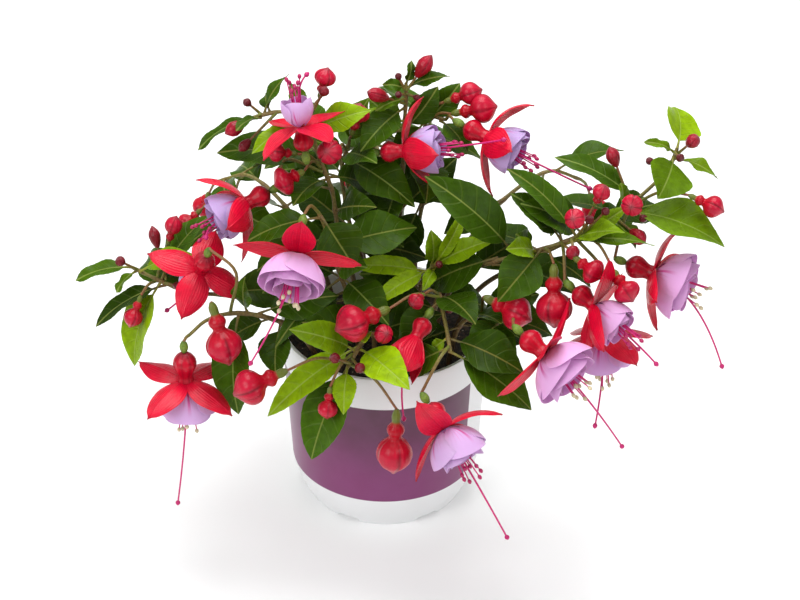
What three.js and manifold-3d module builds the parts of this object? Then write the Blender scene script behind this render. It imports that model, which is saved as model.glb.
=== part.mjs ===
// A fuchsia in a 12 cm white plastic pot: branching leafy stems with opposite leaves, round red buds
// and hanging double flowers with red sepals, lilac petals and long magenta stamens.
// Millimetres, +Z up, the origin on the floor at the pot's axis; the shown side faces -Y.

import * as THREE from 'three';
import { mergeVertices } from 'three/addons/utils/BufferGeometryUtils.js';
import Module from 'manifold-3d';

// Driving dimensions.

const GAP = 0.3; // clearance kept between pieces that touch

const POT_HEIGHT = 114;
const POT_RIM_RADIUS = 60;
const POT_WALL = 1.8;
const POT_SHOULDER_HEIGHT = 23; // above it the wall is a plain cone, below it turns in to the base
const POT_SHOULDER_RADIUS = 55;
const POT_BASE_RADIUS = 46;
const POT_SIDES = 28;
const POT_FEET = 6; // the lobes that the pot stands on
const POT_RECESS = 2; // of the underside within the ring of feet
const POT_NOTCH_HEIGHT = 3.2; // of the drainage notches between the feet
const POT_NOTCH_WIDTH = 12;

const SOIL_TOP = 103; // at the middle, a little mounded
const SOIL_EDGE = 99;
const SOIL_BOTTOM = 5;
const SOIL_SIDES = 18;
const STEM_FOOT = 84; // how far down in the soil the stems' holes reach

const BLADE = 0.78; // thickness of a leaf, a sepal or a petal
const STEM_RADIUS = 2.1; // of a shoot where it leaves the soil
const STEM_TIP_RADIUS = 1.1;
const PEDICEL_RADIUS = 0.75;
const LEAF_STALK = 0.14; // share of a leaf's reach that is stalk
const LEAF_ARCH = 0.1; // rise of a leaf over its chord, as a share of its reach
const LEAF_FOLD = 0.3; // how far a blade's halves lift from the midrib, as a slope
const LEAF_ROWS = [LEAF_STALK, 0.45, 0.75, 1]; // where a leaf is cut across, as shares of its reach
const SMALL_LEAF_ROWS = [0.3, 0.65, 1];
const SMALL_LEAF_WIDTH = 12.5; // a leaf narrower than this is flat
const BIG_LEAF_WIDTH = 17; // a leaf wider than this has a cut more
const LEAF_STALK_WIDTH = 1.4;
const LEAF_FREE = 0.14; // share of a leaf's reach from which it stands away from its stem
const LEAF_SHARE = 0.3; // volume in mm3 that it may share with its own shoot
const LEAF_WAVE = 0.8; // how far the edges wave up and down
const NODE_LENGTH = 1.8; // of the short stretch of stem that leaves and stalks grow from
const NODE_SPACE = 1; // least stem between two nodes
const NODE_REACH = 4; // how far along the stem an item may move to share a node
const ROOTED = 24; // how much of a stem's foot is straight, to stand in its hole
const STEM_STEP = 28; // longest straight stretch of stem

const MOUTH_RADIUS = 4.7; // of a flower's tube where its sepals part
const TUBE_PROFILE = [[2.6, 0], [6.3, 0.36], [4.1, 0.8], [MOUTH_RADIUS, 1]]; // [radius, share of its length]
const SEPAL_LENGTH = 30;
const SEPAL_WIDTH = 17;
const PETAL_LENGTH = 23;
const PETAL_WIDTH = 21;
const FILAMENT_LENGTH = 27;
const OVARY_LENGTH = 7;

// Profiles of [share of the radius, share of the length]: a big bud has its ovary, tube and closed sepals
// in a row, a small one is a single drop.
const BUD_BIG = [[0.26, 0.04], [0.46, 0.26], [0.38, 0.42], [1, 0.74], [0.12, 1]];
const BUD_SMALL = [[0.5, 0], [1, 0.55], [0.2, 1]];
const BUD_SMALL_RADIUS = 4.5;

// Colour and roughness of each kind of piece.
const FINISHES = {
  pot: [0xf2f2f0, 0.4],
  soil: [0x17120f, 0.95],
  shoot: [0x4d7a14, 0.5],
  calyx: [0xe0122f, 0.3],
  corolla: [0xd9a3dc, 0.55],
  stamens: [0xd81b80, 0.4],
};

// The plant's layout.
// A shoot is one or more stems, each along a route of places [x, y, z], the first stem from its hole
// in the soil. On a stem:
//   leaves  [share of the route, x, y, z of the leaf's tip, width]
//   buds    [share of the route, x, y, z of the ovary's foot, x, y, z of the bud's tip, radius]
//   pairs   shares of the route at which an opposite pair of leaves more stands
//   thin    the numbers of the leaves of those pairs that have fallen

const SHOOTS = {
  left_arm: [{
    route: [[-27, -4, STEM_FOOT], [-52, -16, 128], [-86, -22, 145], [-108, -26, 150], [-125, -26, 158],
      [-140, -22, 164]],
    leaves: [[1, -171, -28, 159, 13], [1, -148, -34, 155, 8], [1, -104, -34, 177, 13],
      [0.82, -95, -4, 188, 21], [0.78, -159, -42, 134, 15], [0.8, -143, -54, 119, 27]],
    buds: [[0.8, -134, -38, 156, -141, -43, 138, 5.4], [1, -144, -27, 171, -147, -31, 175, 3],
      [0.82, -120, -19, 176, -114, -18, 195, 5], [0.8, -126, -11, 171, -129, -9, 183, 3.4],
      [0.72, -116, -29, 156, -111, -33, 158, 2.6]],
    pairs: [0.45, 0.7], thin: [3],
  }],
  lower_left: [{
    route: [[-30, -24, STEM_FOOT], [-48, -36, 130], [-67, -44, 146], [-84, -50, 152], [-97, -57, 152],
      [-106, -62, 146]],
    pairs: [0.42], thin: [1],
    leaves: [[0.55, -81, -75, 100, 25], [0.5, -84, -38, 170, 13], [0.35, -90, -38, 122, 19],
      [0.3, -60, -60, 118, 20]],
    buds: [[0.7, -93, -63, 168, -84, -72, 133, 10]],
  }],
  main_left: [{
    route: [[-12, -14, STEM_FOOT], [-20, -24, 144], [-27, -30, 174], [-31, -36, 196], [-35, -42, 212]],
    pairs: [0.26, 0.38, 0.6],
    leaves: [[0.95, -74, -38, 191, 18], [0.9, -16, -52, 183, 26], [0.45, -9, -44, 178, 16],
      [0.3, -54, -50, 140, 20], [0.36, -60, -56, 133, 11], [0.7, -70, -32, 168, 22]],
  }],
  left_upright: [{
    route: [[-14, 2, STEM_FOOT], [-17, -4, 140], [-26, -8, 183], [-29, -6, 205], [-35, -4, 222],
      [-39, -2, 239], [-41, 0, 251]],
    leaves: [[0.66, -92, -4, 229, 25], [1, -72, -22, 245, 13], [0.97, -51, 6, 265, 9],
      [1, -37, -20, 250, 11], [1, -7, -2, 252, 16], [0.5, -62, 4, 200, 20]],
    buds: [[0.64, -47, -14, 232, -63, -18, 236, 5.6], [0.66, -43, -22, 226, -59, -28, 220, 8],
      [1, -35, 2, 257, -30, 4, 275, 6], [1, -32, -4, 262, -31, -5, 268, 3.2]],
    pairs: [0.28, 0.4, 0.56, 0.72], thin: [2],
  }, {
    from: 0.97,
    route: [[-40, 0, 245], [-55, 2, 249], [-70, 4, 245]],
    leaves: [[1, -51, 8, 269, 8], [1, -102, 0, 226, 10], [1, -66, 10, 257, 7], [1, -81, -9, 240, 10]],
    buds: [[1, -75, -3, 241, -86, -8, 241, 4.2], [0.95, -74, -4, 236, -79, -6, 229, 3],
      [1, -74, 3, 251, -76, 3, 256, 2.4]],
  }],
  left_second: [{
    route: [[-3, 10, STEM_FOOT], [-10, 8, 140],
      [-18, 10, 165], [-22, 13, 185], [-24, 16, 204], [-20, 17, 220]],
    leaves: [[1, 1, -13, 222, 17], [0.93, 17, -14, 198, 23], [1, -42, 10, 228, 14], [1, -8, 20, 248, 17]],
    buds: [[1, -25, -8, 229, -31, -27, 241, 7], [1, -18, 6, 232, -13, 10, 250, 7]],
    pairs: [0.3, 0.45, 0.6, 0.75], thin: [4],
  }],
  top_centre: [{
    route: [[8, 12, STEM_FOOT], [8, 10, 162], [10, 16, 198], [11, 20, 228], [12, 22, 247], [12, 23, 255]],
    leaves: [[1, 35, 20, 264, 9], [1, 20, 24, 267, 6], [1, -1, 20, 256, 8], [0.85, -5, 10, 245, 6],
      [0.65, -19, 12, 233, 16], [0.6, -7, 32, 243, 16], [0.6, 36, 32, 241, 15], [0.4, -2, -28, 186, 14]],
    buds: [[0.8, 4, 13, 252, -9, 8, 258, 4.2], [1, 18, 22, 260, 26, 22, 273, 4.4],
      [1, 9, 21, 259, 7, 20, 263, 2], [0.85, 8, 15, 250, 7, 12, 254, 2], [0.85, 16, 18, 247, 20, 16, 249, 2]],
    pairs: [0.3, 0.45, 0.75], thin: [3, 5],
  }],
  top_right: [{
    route: [[17, 7, STEM_FOOT], [18, 14, 158], [23, 22, 193], [22, 26, 221], [25, 26, 232], [34, 22, 233]],
    leaves: [[1, 43, 3, 222, 17], [0.8, 40, 36, 250, 15], [0.7, 2, 20, 212, 16], [0.6, 56, 20, 212, 18]],
    buds: [[0.8, 33, 24, 243, 54, 22, 252, 6.6], [0.8, 37, 16, 240, 62, 12, 247, 8.2]],
    pairs: [0.32, 0.5, 0.66, 0.8], thin: [5],
  }],
  right_arm: [{
    route: [[26, -8, STEM_FOOT], [32, -14, 130], [44, -23, 160], [60, -32, 174], [76, -40, 184],
      [91, -44, 192], [111, -46, 202]],
    pairs: [0.34, 0.52],
    leaves: [[0.62, 22, -26, 225, 26], [0.8, 61, -67, 171, 24], [0.74, 65, -60, 200, 13],
      [0.85, 68, -36, 220, 19], [0.95, 66, -30, 232, 17], [1, 130, -62, 203, 16], [1, 145, -60, 196, 9],
      [0.7, 73, -46, 202, 14], [1, 131, -44, 217, 8], [0.6, 60, -58, 150, 18]],
    buds: [[1, 104, -55, 216, 99, -68, 224, 5.6], [1, 112, -46, 218, 117, -49, 233, 5],
      [1, 118, -50, 217, 119, -53, 221, 2.4], [1, 110, -53, 214, 110, -57, 218, 2.6],
      [0.97, 106, -59, 204, 102, -64, 199, 4], [0.9, 101, -63, 197, 116, -73, 190, 7],
      [0.8, 91, -59, 190, 92, -70, 156, 10], [1, 122, -68, 192, 132, -82, 181, 7.5]],
  }],
  right_node: [{
    route: [[34, 0, STEM_FOOT], [52, -10, 140], [84, -24, 172], [111, -32, 194], [128, -32, 206],
      [138, -30, 214]],
    leaves: [[1, 92, -18, 232, 17], [1, 181, -54, 191, 31], [1, 127, -33, 225, 12], [0.97, 138, -48, 196, 14],
      [0.7, 150, -8, 196, 20], [0.5, 88, -2, 190, 22]],
    buds: [[0.97, 131, -22, 235, 121, -22, 241, 3.9], [1, 134, -41, 218, 131, -53, 222, 6],
      [1, 163, -39, 221, 182, -45, 214, 6.2], [1, 140, -42, 212, 140, -46, 209, 2.4],
      [0.97, 131, -48, 205, 140, -52, 199, 4.4]],
    pairs: [0.3, 0.42, 0.58, 0.72], thin: [6],
  }, {
    from: 0.96,
    route: [[137, -30, 213], [150, -24, 224], [156, -20, 232], [158, -18, 238]],
    leaves: [[0.8, 146, -43, 221, 26], [1, 159, 9, 248, 26], [1, 139, -24, 245, 7], [1, 180, -28, 224, 9]],
    buds: [[0.7, 143, -30, 234, 140, -32, 238, 2.2], [1, 161, -26, 243, 167, -29, 251, 3.9],
      [1, 159, -26, 237, 159, -30, 238, 2.4]],
  }],
  front_stem: [{
    route: [[19, -25, STEM_FOOT], [27, -31, 135], [30, -36, 155], [31, -46, 157], [34, -62, 150],
      [36, -74, 143]],
    pairs: [0.3, 0.42],
    leaves: [[1, 80, -89, 115, 28], [0.85, 76, -76, 129, 25], [0.88, 27, -64, 138, 7], [1, 10, -66, 120, 18]],
    buds: [[0.5, 3, -63, 164, -26, -78, 160, 10.5],
      [0.5, 22, -50, 165, 15, -60, 164, 4.8], [0.55, 36, -50, 159, 37, -53, 155, 2.4]],
  }],
  front_cluster: [{
    route: [[-6, -26, STEM_FOOT], [-6, -38, 128], [-9, -52, 139], [-15, -66, 138], [-20, -75, 133]],
    pairs: [0.3],
    leaves: [[1, -53, -84, 159, 18], [1, 22, -90, 126, 21], [1, -63, -92, 113, 18], [1, -11, -80, 153, 10],
      [1, -25, -98, 119, 13], [1, -40, -90, 82, 26]],
    buds: [[0.55, -5, -64, 147, 2, -75, 156, 5.4], [1, -24, -83, 143, -28, -87, 149, 3],
      [1, -15, -85, 138, -12, -89, 142, 3],
      [1, -29, -88, 130, -31, -93, 112, 5.6], [1, 7, -95, 120, 5, -101, 81, 10],
      [1, -52, -84, 138, -81, -93, 128, 10]],
  }],
  mid_tuft: [{
    route: [[10, -12, STEM_FOOT], [18, -14, 134], [22, -18, 154], [28, -25, 168]],
    pairs: [0.3, 0.45, 0.7],
    leaves: [[1, 45, -24, 205, 8], [1, 60, -34, 196, 12], [1, 25, -28, 190, 12], [0.9, -8, -49, 156, 11],
      [1, -19, -32, 177, 12], [1, 21, -41, 161, 7], [0.6, -8, -34, 148, 18], [0.5, 52, -6, 158, 20]],
    buds: [[1, 32, -31, 171, 31, -34, 174, 2.2]],
  }],
  right_low: [{
    route: [[34, -20, STEM_FOOT], [42, -30, 130], [50, -38, 142], [61, -50, 149], [70, -60, 151]],
    pairs: [0.25, 0.35],
    leaves: [[0.85, 46, -66, 139, 17], [0.6, 96, -46, 140, 22], [0.4, 74, -56, 118, 20],
      [0.5, 88, -26, 150, 20]],
    buds: [[0.6, 54, -56, 167, 80, -63, 156, 9.6]],
  }],
  back_left: [{
    route: [[-22, 14, STEM_FOOT], [-40, 30, 140], [-62, 46, 168], [-80, 58, 176], [-96, 66, 168]],
    leaves: [], pairs: [0.45, 0.62, 0.8, 0.97], thin: [3, 4, 7],
    buds: [[0.8, -88, 66, 160, -92, 74, 140, 8], [1, -104, 72, 156, -110, 78, 138, 7]],
  }, {
    from: 0.3,
    route: [[-42, 31, 143], [-72, 26, 168], [-96, 22, 180]],
    leaves: [], pairs: [0.6, 0.95], thin: [0, 2],
    buds: [[1, -104, 20, 176, -116, 18, 164, 6]],
  }],
  back_mid: [{
    route: [[0, 28, STEM_FOOT], [2, 46, 145], [-2, 66, 178], [-6, 84, 182], [-10, 96, 172]],
    leaves: [], pairs: [0.45, 0.62, 0.8, 0.97],
    buds: [[1, -16, 100, 160, -20, 104, 138, 9], [0.8, 8, 88, 168, 14, 94, 150, 7]],
  }, {
    from: 0.3,
    route: [[1, 44, 142], [20, 50, 186], [26, 56, 212]],
    leaves: [], pairs: [0.6, 0.95], thin: [3],
    buds: [[1, 26, 62, 218, 28, 70, 226, 4]],
  }],
  back_right: [{
    route: [[22, 20, STEM_FOOT], [48, 34, 145], [74, 46, 172], [96, 56, 180], [114, 60, 172]],
    leaves: [], pairs: [0.45, 0.62, 0.8, 0.97], thin: [0, 2, 4, 6, 7],
    buds: [[1, 120, 64, 160, 126, 70, 140, 8], [0.7, 92, 62, 162, 94, 70, 146, 6]],
  }],
  crown_back: [{
    route: [[-9, 20, STEM_FOOT], [-14, 26, 155], [-24, 34, 195], [-32, 40, 218]],
    leaves: [], pairs: [0.45, 0.62, 0.8, 0.97],
    buds: [[1, -40, 44, 222, -50, 48, 222, 4.4]],
  }],
};

// A bloom: the shoot and share of its stem that it hangs from, any places that its pedicel passes, the
// top and the mouth of its tube, the turn of its four sepals about the axis, each sepal's spread from
// the axis and curl towards its tip in degrees, the corolla's opening and the end of its long style.
const BLOOMS = {
  main: { on: ['main_left', 0, 1], via: [[-39, -52, 222]], top: [-43, -65, 217], mouth: [-45, -78, 209],
    roll: 80, spread: [98, 100, 80, 100], curl: [-8, -25, 30, -25], open: 1.1,
    style: [-71, -97, 151] },
  upper_left: { on: ['left_upright', 0, 0.64], via: [[-54, -10, 226]],
    top: [-63, -14, 208], mouth: [-75, -20, 204], roll: 110,
    spread: [75, 70, 75, 70], curl: [-55, -30, -40, -50], open: 0.8,
    style: [-96, -40, 194] },
  top_left: { on: ['left_upright', 0, 1], via: [], top: [-42, -30, 243], mouth: [-44, -26, 255],
    roll: 10, spread: [105, 95, 85, 85], curl: [25, 20, 0, 0], open: 0.5, size: 0.85, single: true,
    style: [-40, -12, 280] },
  top_centre: { on: ['top_centre', 0, 0.6], via: [], top: [-2, -2, 226], mouth: [11, -4, 228],
    roll: 70, spread: [92, 58, 62, 70], curl: [-60, -40, -40, -40], open: 0.8,
    style: [65, -23, 246] },
  top_right: { on: ['top_right', 0, 1], via: [], top: [44, 6, 238], mouth: [56, 0, 234],
    roll: 55, spread: [95, 60, 72, 70], curl: [-75, -30, -42, -40], open: 0.8,
    style: [113, -18, 212] },
  left_back: { on: ['lower_left', 0, 0.6], via: [[-80, -56, 184]],
    top: [-96, -45, 186], mouth: [-100, -40, 174], roll: 140,
    spread: [90, 85, 85, 90], curl: [-10, -25, -35, -20], open: 0.5, size: 0.9, single: true,
    style: [-122, -30, 140] },
  lower_left: { on: ['lower_left', 0, 1], via: [], top: [-109, -66, 137], mouth: [-109, -67, 119],
    roll: -145, spread: [85, 95, 90, 78], curl: [-20, -10, -20, -20], open: 1,
    style: [-118, -68, 33] },
  centre: { on: ['front_stem', 0, 0.62], via: [], top: [23, -57, 153], mouth: [17, -66, 146],
    roll: 45, spread: [36, 36, 36, 36], curl: [-38, -38, -38, -38], open: 0.1, size: 0.8, single: true,
    style: [11, -89, 108] },
  front: { on: ['front_stem', 0, 1], via: [[30, -84, 146]], top: [24, -94, 123], mouth: [32, -102, 113],
    roll: 45, spread: [95, 110, 75, 70], curl: [-55, 40, -40, -45], open: 1,
    style: [68, -113, 45] },
  right_upper: { on: ['right_arm', 0, 0.9], via: [], top: [102, -67, 179], mouth: [112, -75, 174],
    roll: 180, spread: [52, 80, 95, 95], curl: [-30, -20, 8, 8], open: 0.7,
    style: [146, -92, 147] },
  right_lower: { on: ['right_arm', 0, 0.95], via: [[118, -52, 182]],
    top: [119, -52, 160], mouth: [120, -56, 144], roll: 75,
    spread: [80, 80, 80, 80], curl: [-20, -20, -20, -20], open: 0.95, single: true,
    style: [116, -78, 95] },
  right_edge: { on: ['right_node', 0, 1], via: [], top: [132, -41, 179], mouth: [146, -47, 176],
    roll: 80, spread: [100, 90, 85, 85], curl: [-50, -45, -40, -60], open: 1.1,
    style: [186, -62, 124] },
  lower_right: { on: ['right_low', 0, 1], via: [], top: [74, -86, 163], mouth: [85, -95, 157],
    roll: -150, spread: [90, 80, 107, 75], curl: [5, -20, 10, 10], open: 1.2,
    style: [130, -96, 95] },
};

// Vector and number helpers.

const V = (p) => new THREE.Vector3(...p);
const UP = new THREE.Vector3(0, 0, 1);
const rad = THREE.MathUtils.degToRad;

// Repeatable random numbers from a seed (mulberry32).
function randomFrom(seed) {
  let a = seed >>> 0;
  return () => {
    a = (a + 0x6d2b79f5) >>> 0;
    let t = Math.imul(a ^ (a >>> 15), 1 | a);
    t = (t + Math.imul(t ^ (t >>> 7), 61 | t)) ^ t;
    return ((t ^ (t >>> 14)) >>> 0) / 4294967296;
  };
}

// Two directions across an axis, the first as level as it can be, the second to its left.
function frameOf(along) {
  const level = Math.abs(along.z) > 0.99 ? new THREE.Vector3(1, 0, 0) : UP;
  const side = new THREE.Vector3().crossVectors(level, along).normalize();
  return { along, side, over: new THREE.Vector3().crossVectors(along, side) };
}

// The direction across an axis at a turn in degrees about it.
function acrossAt({ side, over }, turn) {
  return side.clone().multiplyScalar(Math.cos(rad(turn))).addScaledVector(over, Math.sin(rad(turn)));
}

const curveThrough = (places) => new THREE.CatmullRomCurve3(places.map(V), false, 'centripetal');

// Solids.

const wasm = await Module();
wasm.setup();

function solidOf(geometry) {
  const bare = geometry.clone();
  bare.deleteAttribute('normal');
  bare.deleteAttribute('uv');
  const welded = mergeVertices(bare, 1e-4);
  const mesh = new wasm.Mesh({
    numProp: 3,
    vertProperties: new Float32Array(welded.attributes.position.array),
    triVerts: new Uint32Array(welded.index.array),
  });
  return new wasm.Manifold(mesh);
}

function geometryOf(solid) {
  const mesh = solid.getMesh();
  const geometry = new THREE.BufferGeometry();
  geometry.setAttribute('position', new THREE.BufferAttribute(mesh.vertProperties, 3));
  geometry.setIndex(new THREE.BufferAttribute(mesh.triVerts, 1));
  geometry.computeVertexNormals();
  return geometry;
}

const fuse = (solids) => wasm.Manifold.union(solids);

// A closed skin grown from loops of points, each counterclockwise as seen from its tip. A branch grows
// out of a face of the skin that is left open for it.
class Skin {
  constructor() {
    this.points = [];
    this.faces = [];
  }

  loop(points) {
    return points.map((p) => this.points.push(p) - 1);
  }

  face(...corners) {
    for (let i = 1; i < corners.length - 1; i++) this.faces.push(corners[0], corners[i], corners[i + 1]);
  }

  // Closes a loop: a blade's, with as many points over as under, from one edge to the other.
  cap(loop) {
    const n = loop.length;
    if (n % 2 === 1) this.face(...loop);
    else for (let i = 0; i < n / 2 - 1; i++) this.face(loop[i], loop[i + 1], loop[n - 2 - i], loop[n - 1 - i]);
  }

  // The wall between two loops, without its `open` sides. Loops of equal count are joined side by
  // side, the second half with the other diagonal, so that both faces of a blade are cut alike.
  bridge(a, b, open = []) {
    const n = a.length;
    const m = b.length;
    if (n === m) {
      for (let i = 0; i < n; i++) {
        const j = (i + 1) % n;
        if (open.includes(i)) continue;
        if (i < n / 2) this.face(a[i], a[j], b[j], b[i]);
        else this.face(a[j], b[j], b[i], a[i]);
      }
      return;
    }
    let i = 0;
    let j = 0;
    while (i < n || j < m) {
      if (j >= m || (i < n && (i + 1) / n <= (j + 1) / m)) {
        this.face(a[i % n], a[(i + 1) % n], b[j % m]);
        i += 1;
      } else {
        this.face(a[i % n], b[(j + 1) % m], b[j % m]);
        j += 1;
      }
    }
  }

  // A loop turned so that it starts nearest to where the other one does.
  turnedTo(a, b) {
    const most = Math.max(a.length, b.length);
    const cost = b.map((_, shift) => {
      let sum = 0;
      for (let k = 0; k < most; k++) {
        const i = Math.floor((k * a.length) / most);
        const j = (Math.floor((k * b.length) / most) + shift) % b.length;
        sum += this.points[a[i]].distanceToSquared(this.points[b[j]]);
      }
      return sum;
    });
    const best = cost.indexOf(Math.min(...cost));
    return b.map((_, i) => b[(i + best) % b.length]);
  }

  // A branch from an open face. Round loops are turned to fit each other; the loops of a blade keep
  // their order, so that only the face it grows from is turned.
  branch(root, sections, { blade = false, fixed = false } = {}) {
    let last = root;
    sections.forEach((points, i) => {
      const next = this.loop(points);
      if (fixed || (blade && i > 0)) {
        this.bridge(last, next);
        last = next;
      } else if (blade) {
        this.bridge(this.turnedTo(next, last), next);
        last = next;
      } else {
        last = (this.bridge(last, this.turnedTo(last, next)), this.turnedTo(last, next));
      }
    });
    this.cap(last);
  }

  solid() {
    const geometry = new THREE.BufferGeometry();
    const places = this.points.flatMap((p) => p.toArray());
    geometry.setAttribute('position', new THREE.Float32BufferAttribute(places, 3));
    geometry.setIndex(this.faces);
    return solidOf(geometry);
  }
}

// The closed solid of some loops on their own.
function solidOfLoops(sections, options) {
  const skin = new Skin();
  const root = skin.loop(sections[0]);
  skin.cap([...root].reverse());
  skin.branch(root, sections.slice(1), options);
  return skin.solid();
}

// A round loop of `sides` points about a place.
function ringAt(centre, frame, radius, sides, turn = 0) {
  return Array.from({ length: sides }, (_, i) => centre.clone()
    .addScaledVector(acrossAt(frame, (360 * i) / sides + turn), radius));
}

// Round loops about the line from one place to another, from a profile of [radius, share of the way].
function turnedLoops(from, to, profile, sides, turn = 0) {
  const frame = frameOf(to.clone().sub(from).normalize());
  return profile.map(([r, d]) => ringAt(from.clone().lerp(to, d), frame, r, sides, turn));
}

// Round loops along a curve, from one share of its length to another.
function loopsAlong(curve, from, to, rows, radius, sides) {
  return Array.from({ length: rows + 1 }, (_, i) => {
    const s = from + ((to - from) * i) / rows;
    return ringAt(curve.getPointAt(s), frameOf(curve.getTangentAt(s)), radius, sides);
  });
}

// A turned body about the Z axis, from a profile of [radius, height] with its ends on the axis.
const turned = (profile, sides) => solidOf(
  new THREE.LatheGeometry(profile.map(([r, z]) => new THREE.Vector2(r, z)), sides).rotateX(Math.PI / 2));

// Leaves.

// The half width of a leaf at a share of its reach, as a share of its full half width: a stalk, then
// a blade that is widest below the middle and drawn out to a point.
function leafOutline(v) {
  if (v <= LEAF_STALK) return 0;
  const t = (v - LEAF_STALK) / (1 - LEAF_STALK);
  return Math.sin(Math.PI * t ** 0.86) ** 0.9 * (1.12 - 0.25 * t);
}

// Leaves look up and towards the side that they stand on.
function leafFace(tip) {
  const out = tip.clone().setZ(0).sub(new THREE.Vector3(0, 40, 0)).normalize();
  return UP.clone().addScaledVector(out, 0.8).normalize();
}

// The loops of a leaf from its foot to its tip: a flat stalk, and a blade folded along its midrib. With
// `from`, a share of its reach, another loop stands there, on the way from the stem to the first one.
function leafLoops(foot, tip, width, { grow = 0, filler = false, from = 0 } = {}) {
  const along = tip.clone().sub(foot);
  const reach = along.length();
  along.normalize();
  const side = new THREE.Vector3().crossVectors(along, leafFace(tip)).normalize();
  const over = new THREE.Vector3().crossVectors(side, along);
  const small = filler || width < SMALL_LEAF_WIDTH;
  const rows = filler || width < BIG_LEAF_WIDTH ? SMALL_LEAF_ROWS : LEAF_ROWS;
  const loopAt = (s, flat) => {
    const half = Math.max(leafOutline(s) * width * 0.5, LEAF_STALK_WIDTH / 2) + grow;
    const centre = foot.clone().addScaledVector(along, s * reach)
      .addScaledVector(over, LEAF_ARCH * reach * 4 * s * (1 - s));
    const out = over.clone().addScaledVector(along, -4 * LEAF_ARCH * (1 - 2 * s)).normalize();
    const wide = s > LEAF_STALK && s < 1;
    const wave = wide ? LEAF_WAVE * Math.sin(9 * s) : 0;
    const across = flat ? [-1, 1] : [-1, 0, 1];
    const face = (dir, us) => us.map((u) => centre.clone()
      .addScaledVector(side, u * half)
      .addScaledVector(over, Math.abs(u) * half * LEAF_FOLD + u * wave)
      .addScaledVector(out, dir * (BLADE / 2 + grow)));
    return [...face(1, across), ...face(-1, [...across].reverse())];
  };
  const flatAt = (s) => small || s <= LEAF_STALK || s >= 1;
  const loops = rows.map((s) => loopAt(s, flatAt(s)));
  if (from > 0 && from < rows[0]) {
    const root = loopAt(0, flatAt(rows[0]));
    loops.unshift(root.map((p, i) => p.lerp(loops[0][i], from / rows[0])));
  }
  return loops;
}

// Buds and stalks.

// The curve of a bud's or a bloom's thin stalk: away from the stem, over its crest, to the ovary.
function stalkCurve(from, via, to) {
  const mid = from.clone().lerp(to, 0.5).addScaledVector(UP, from.distanceTo(to) * 0.16);
  return new THREE.CatmullRomCurve3([from, ...(via.length ? via.map(V) : [mid]), to], false, 'centripetal');
}

function budLoops(from, foot, tip, radius) {
  if (radius > BUD_SMALL_RADIUS) {
    const stalk = loopsAlong(stalkCurve(from, [], foot), 0.25, 0.85, 1, PEDICEL_RADIUS, 4);
    return [...stalk, ...turnedLoops(foot, tip, BUD_BIG.map(([r, d]) => [r * radius, d]), 5)];
  }
  const length = foot.distanceTo(tip);
  const way = tip.clone().sub(from);
  const reach = Math.max(way.length(), length + 1.5);
  way.normalize();
  const start = from.clone().addScaledVector(way, reach - length);
  const end = from.clone().addScaledVector(way, reach);
  return turnedLoops(start, end, BUD_SMALL.map(([r, d]) => [r * radius, d]), 4);
}

function ovaryLoops(from, bloom) {
  const top = V(bloom.top);
  const along = V(bloom.mouth).sub(top).normalize();
  const foot = top.clone().addScaledVector(along, -OVARY_LENGTH);
  const line = stalkCurve(from, bloom.via, foot);
  const stalk = loopsAlong(line, 0.15, 0.92, 1 + bloom.via.length, PEDICEL_RADIUS, 4);
  const end = top.clone().addScaledVector(along, -GAP);
  return [...stalk, ...turnedLoops(foot, end, [[1.3, 0.1], [2.3, 0.55], [1.5, 1]], 5)];
}

// Stems.

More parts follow.
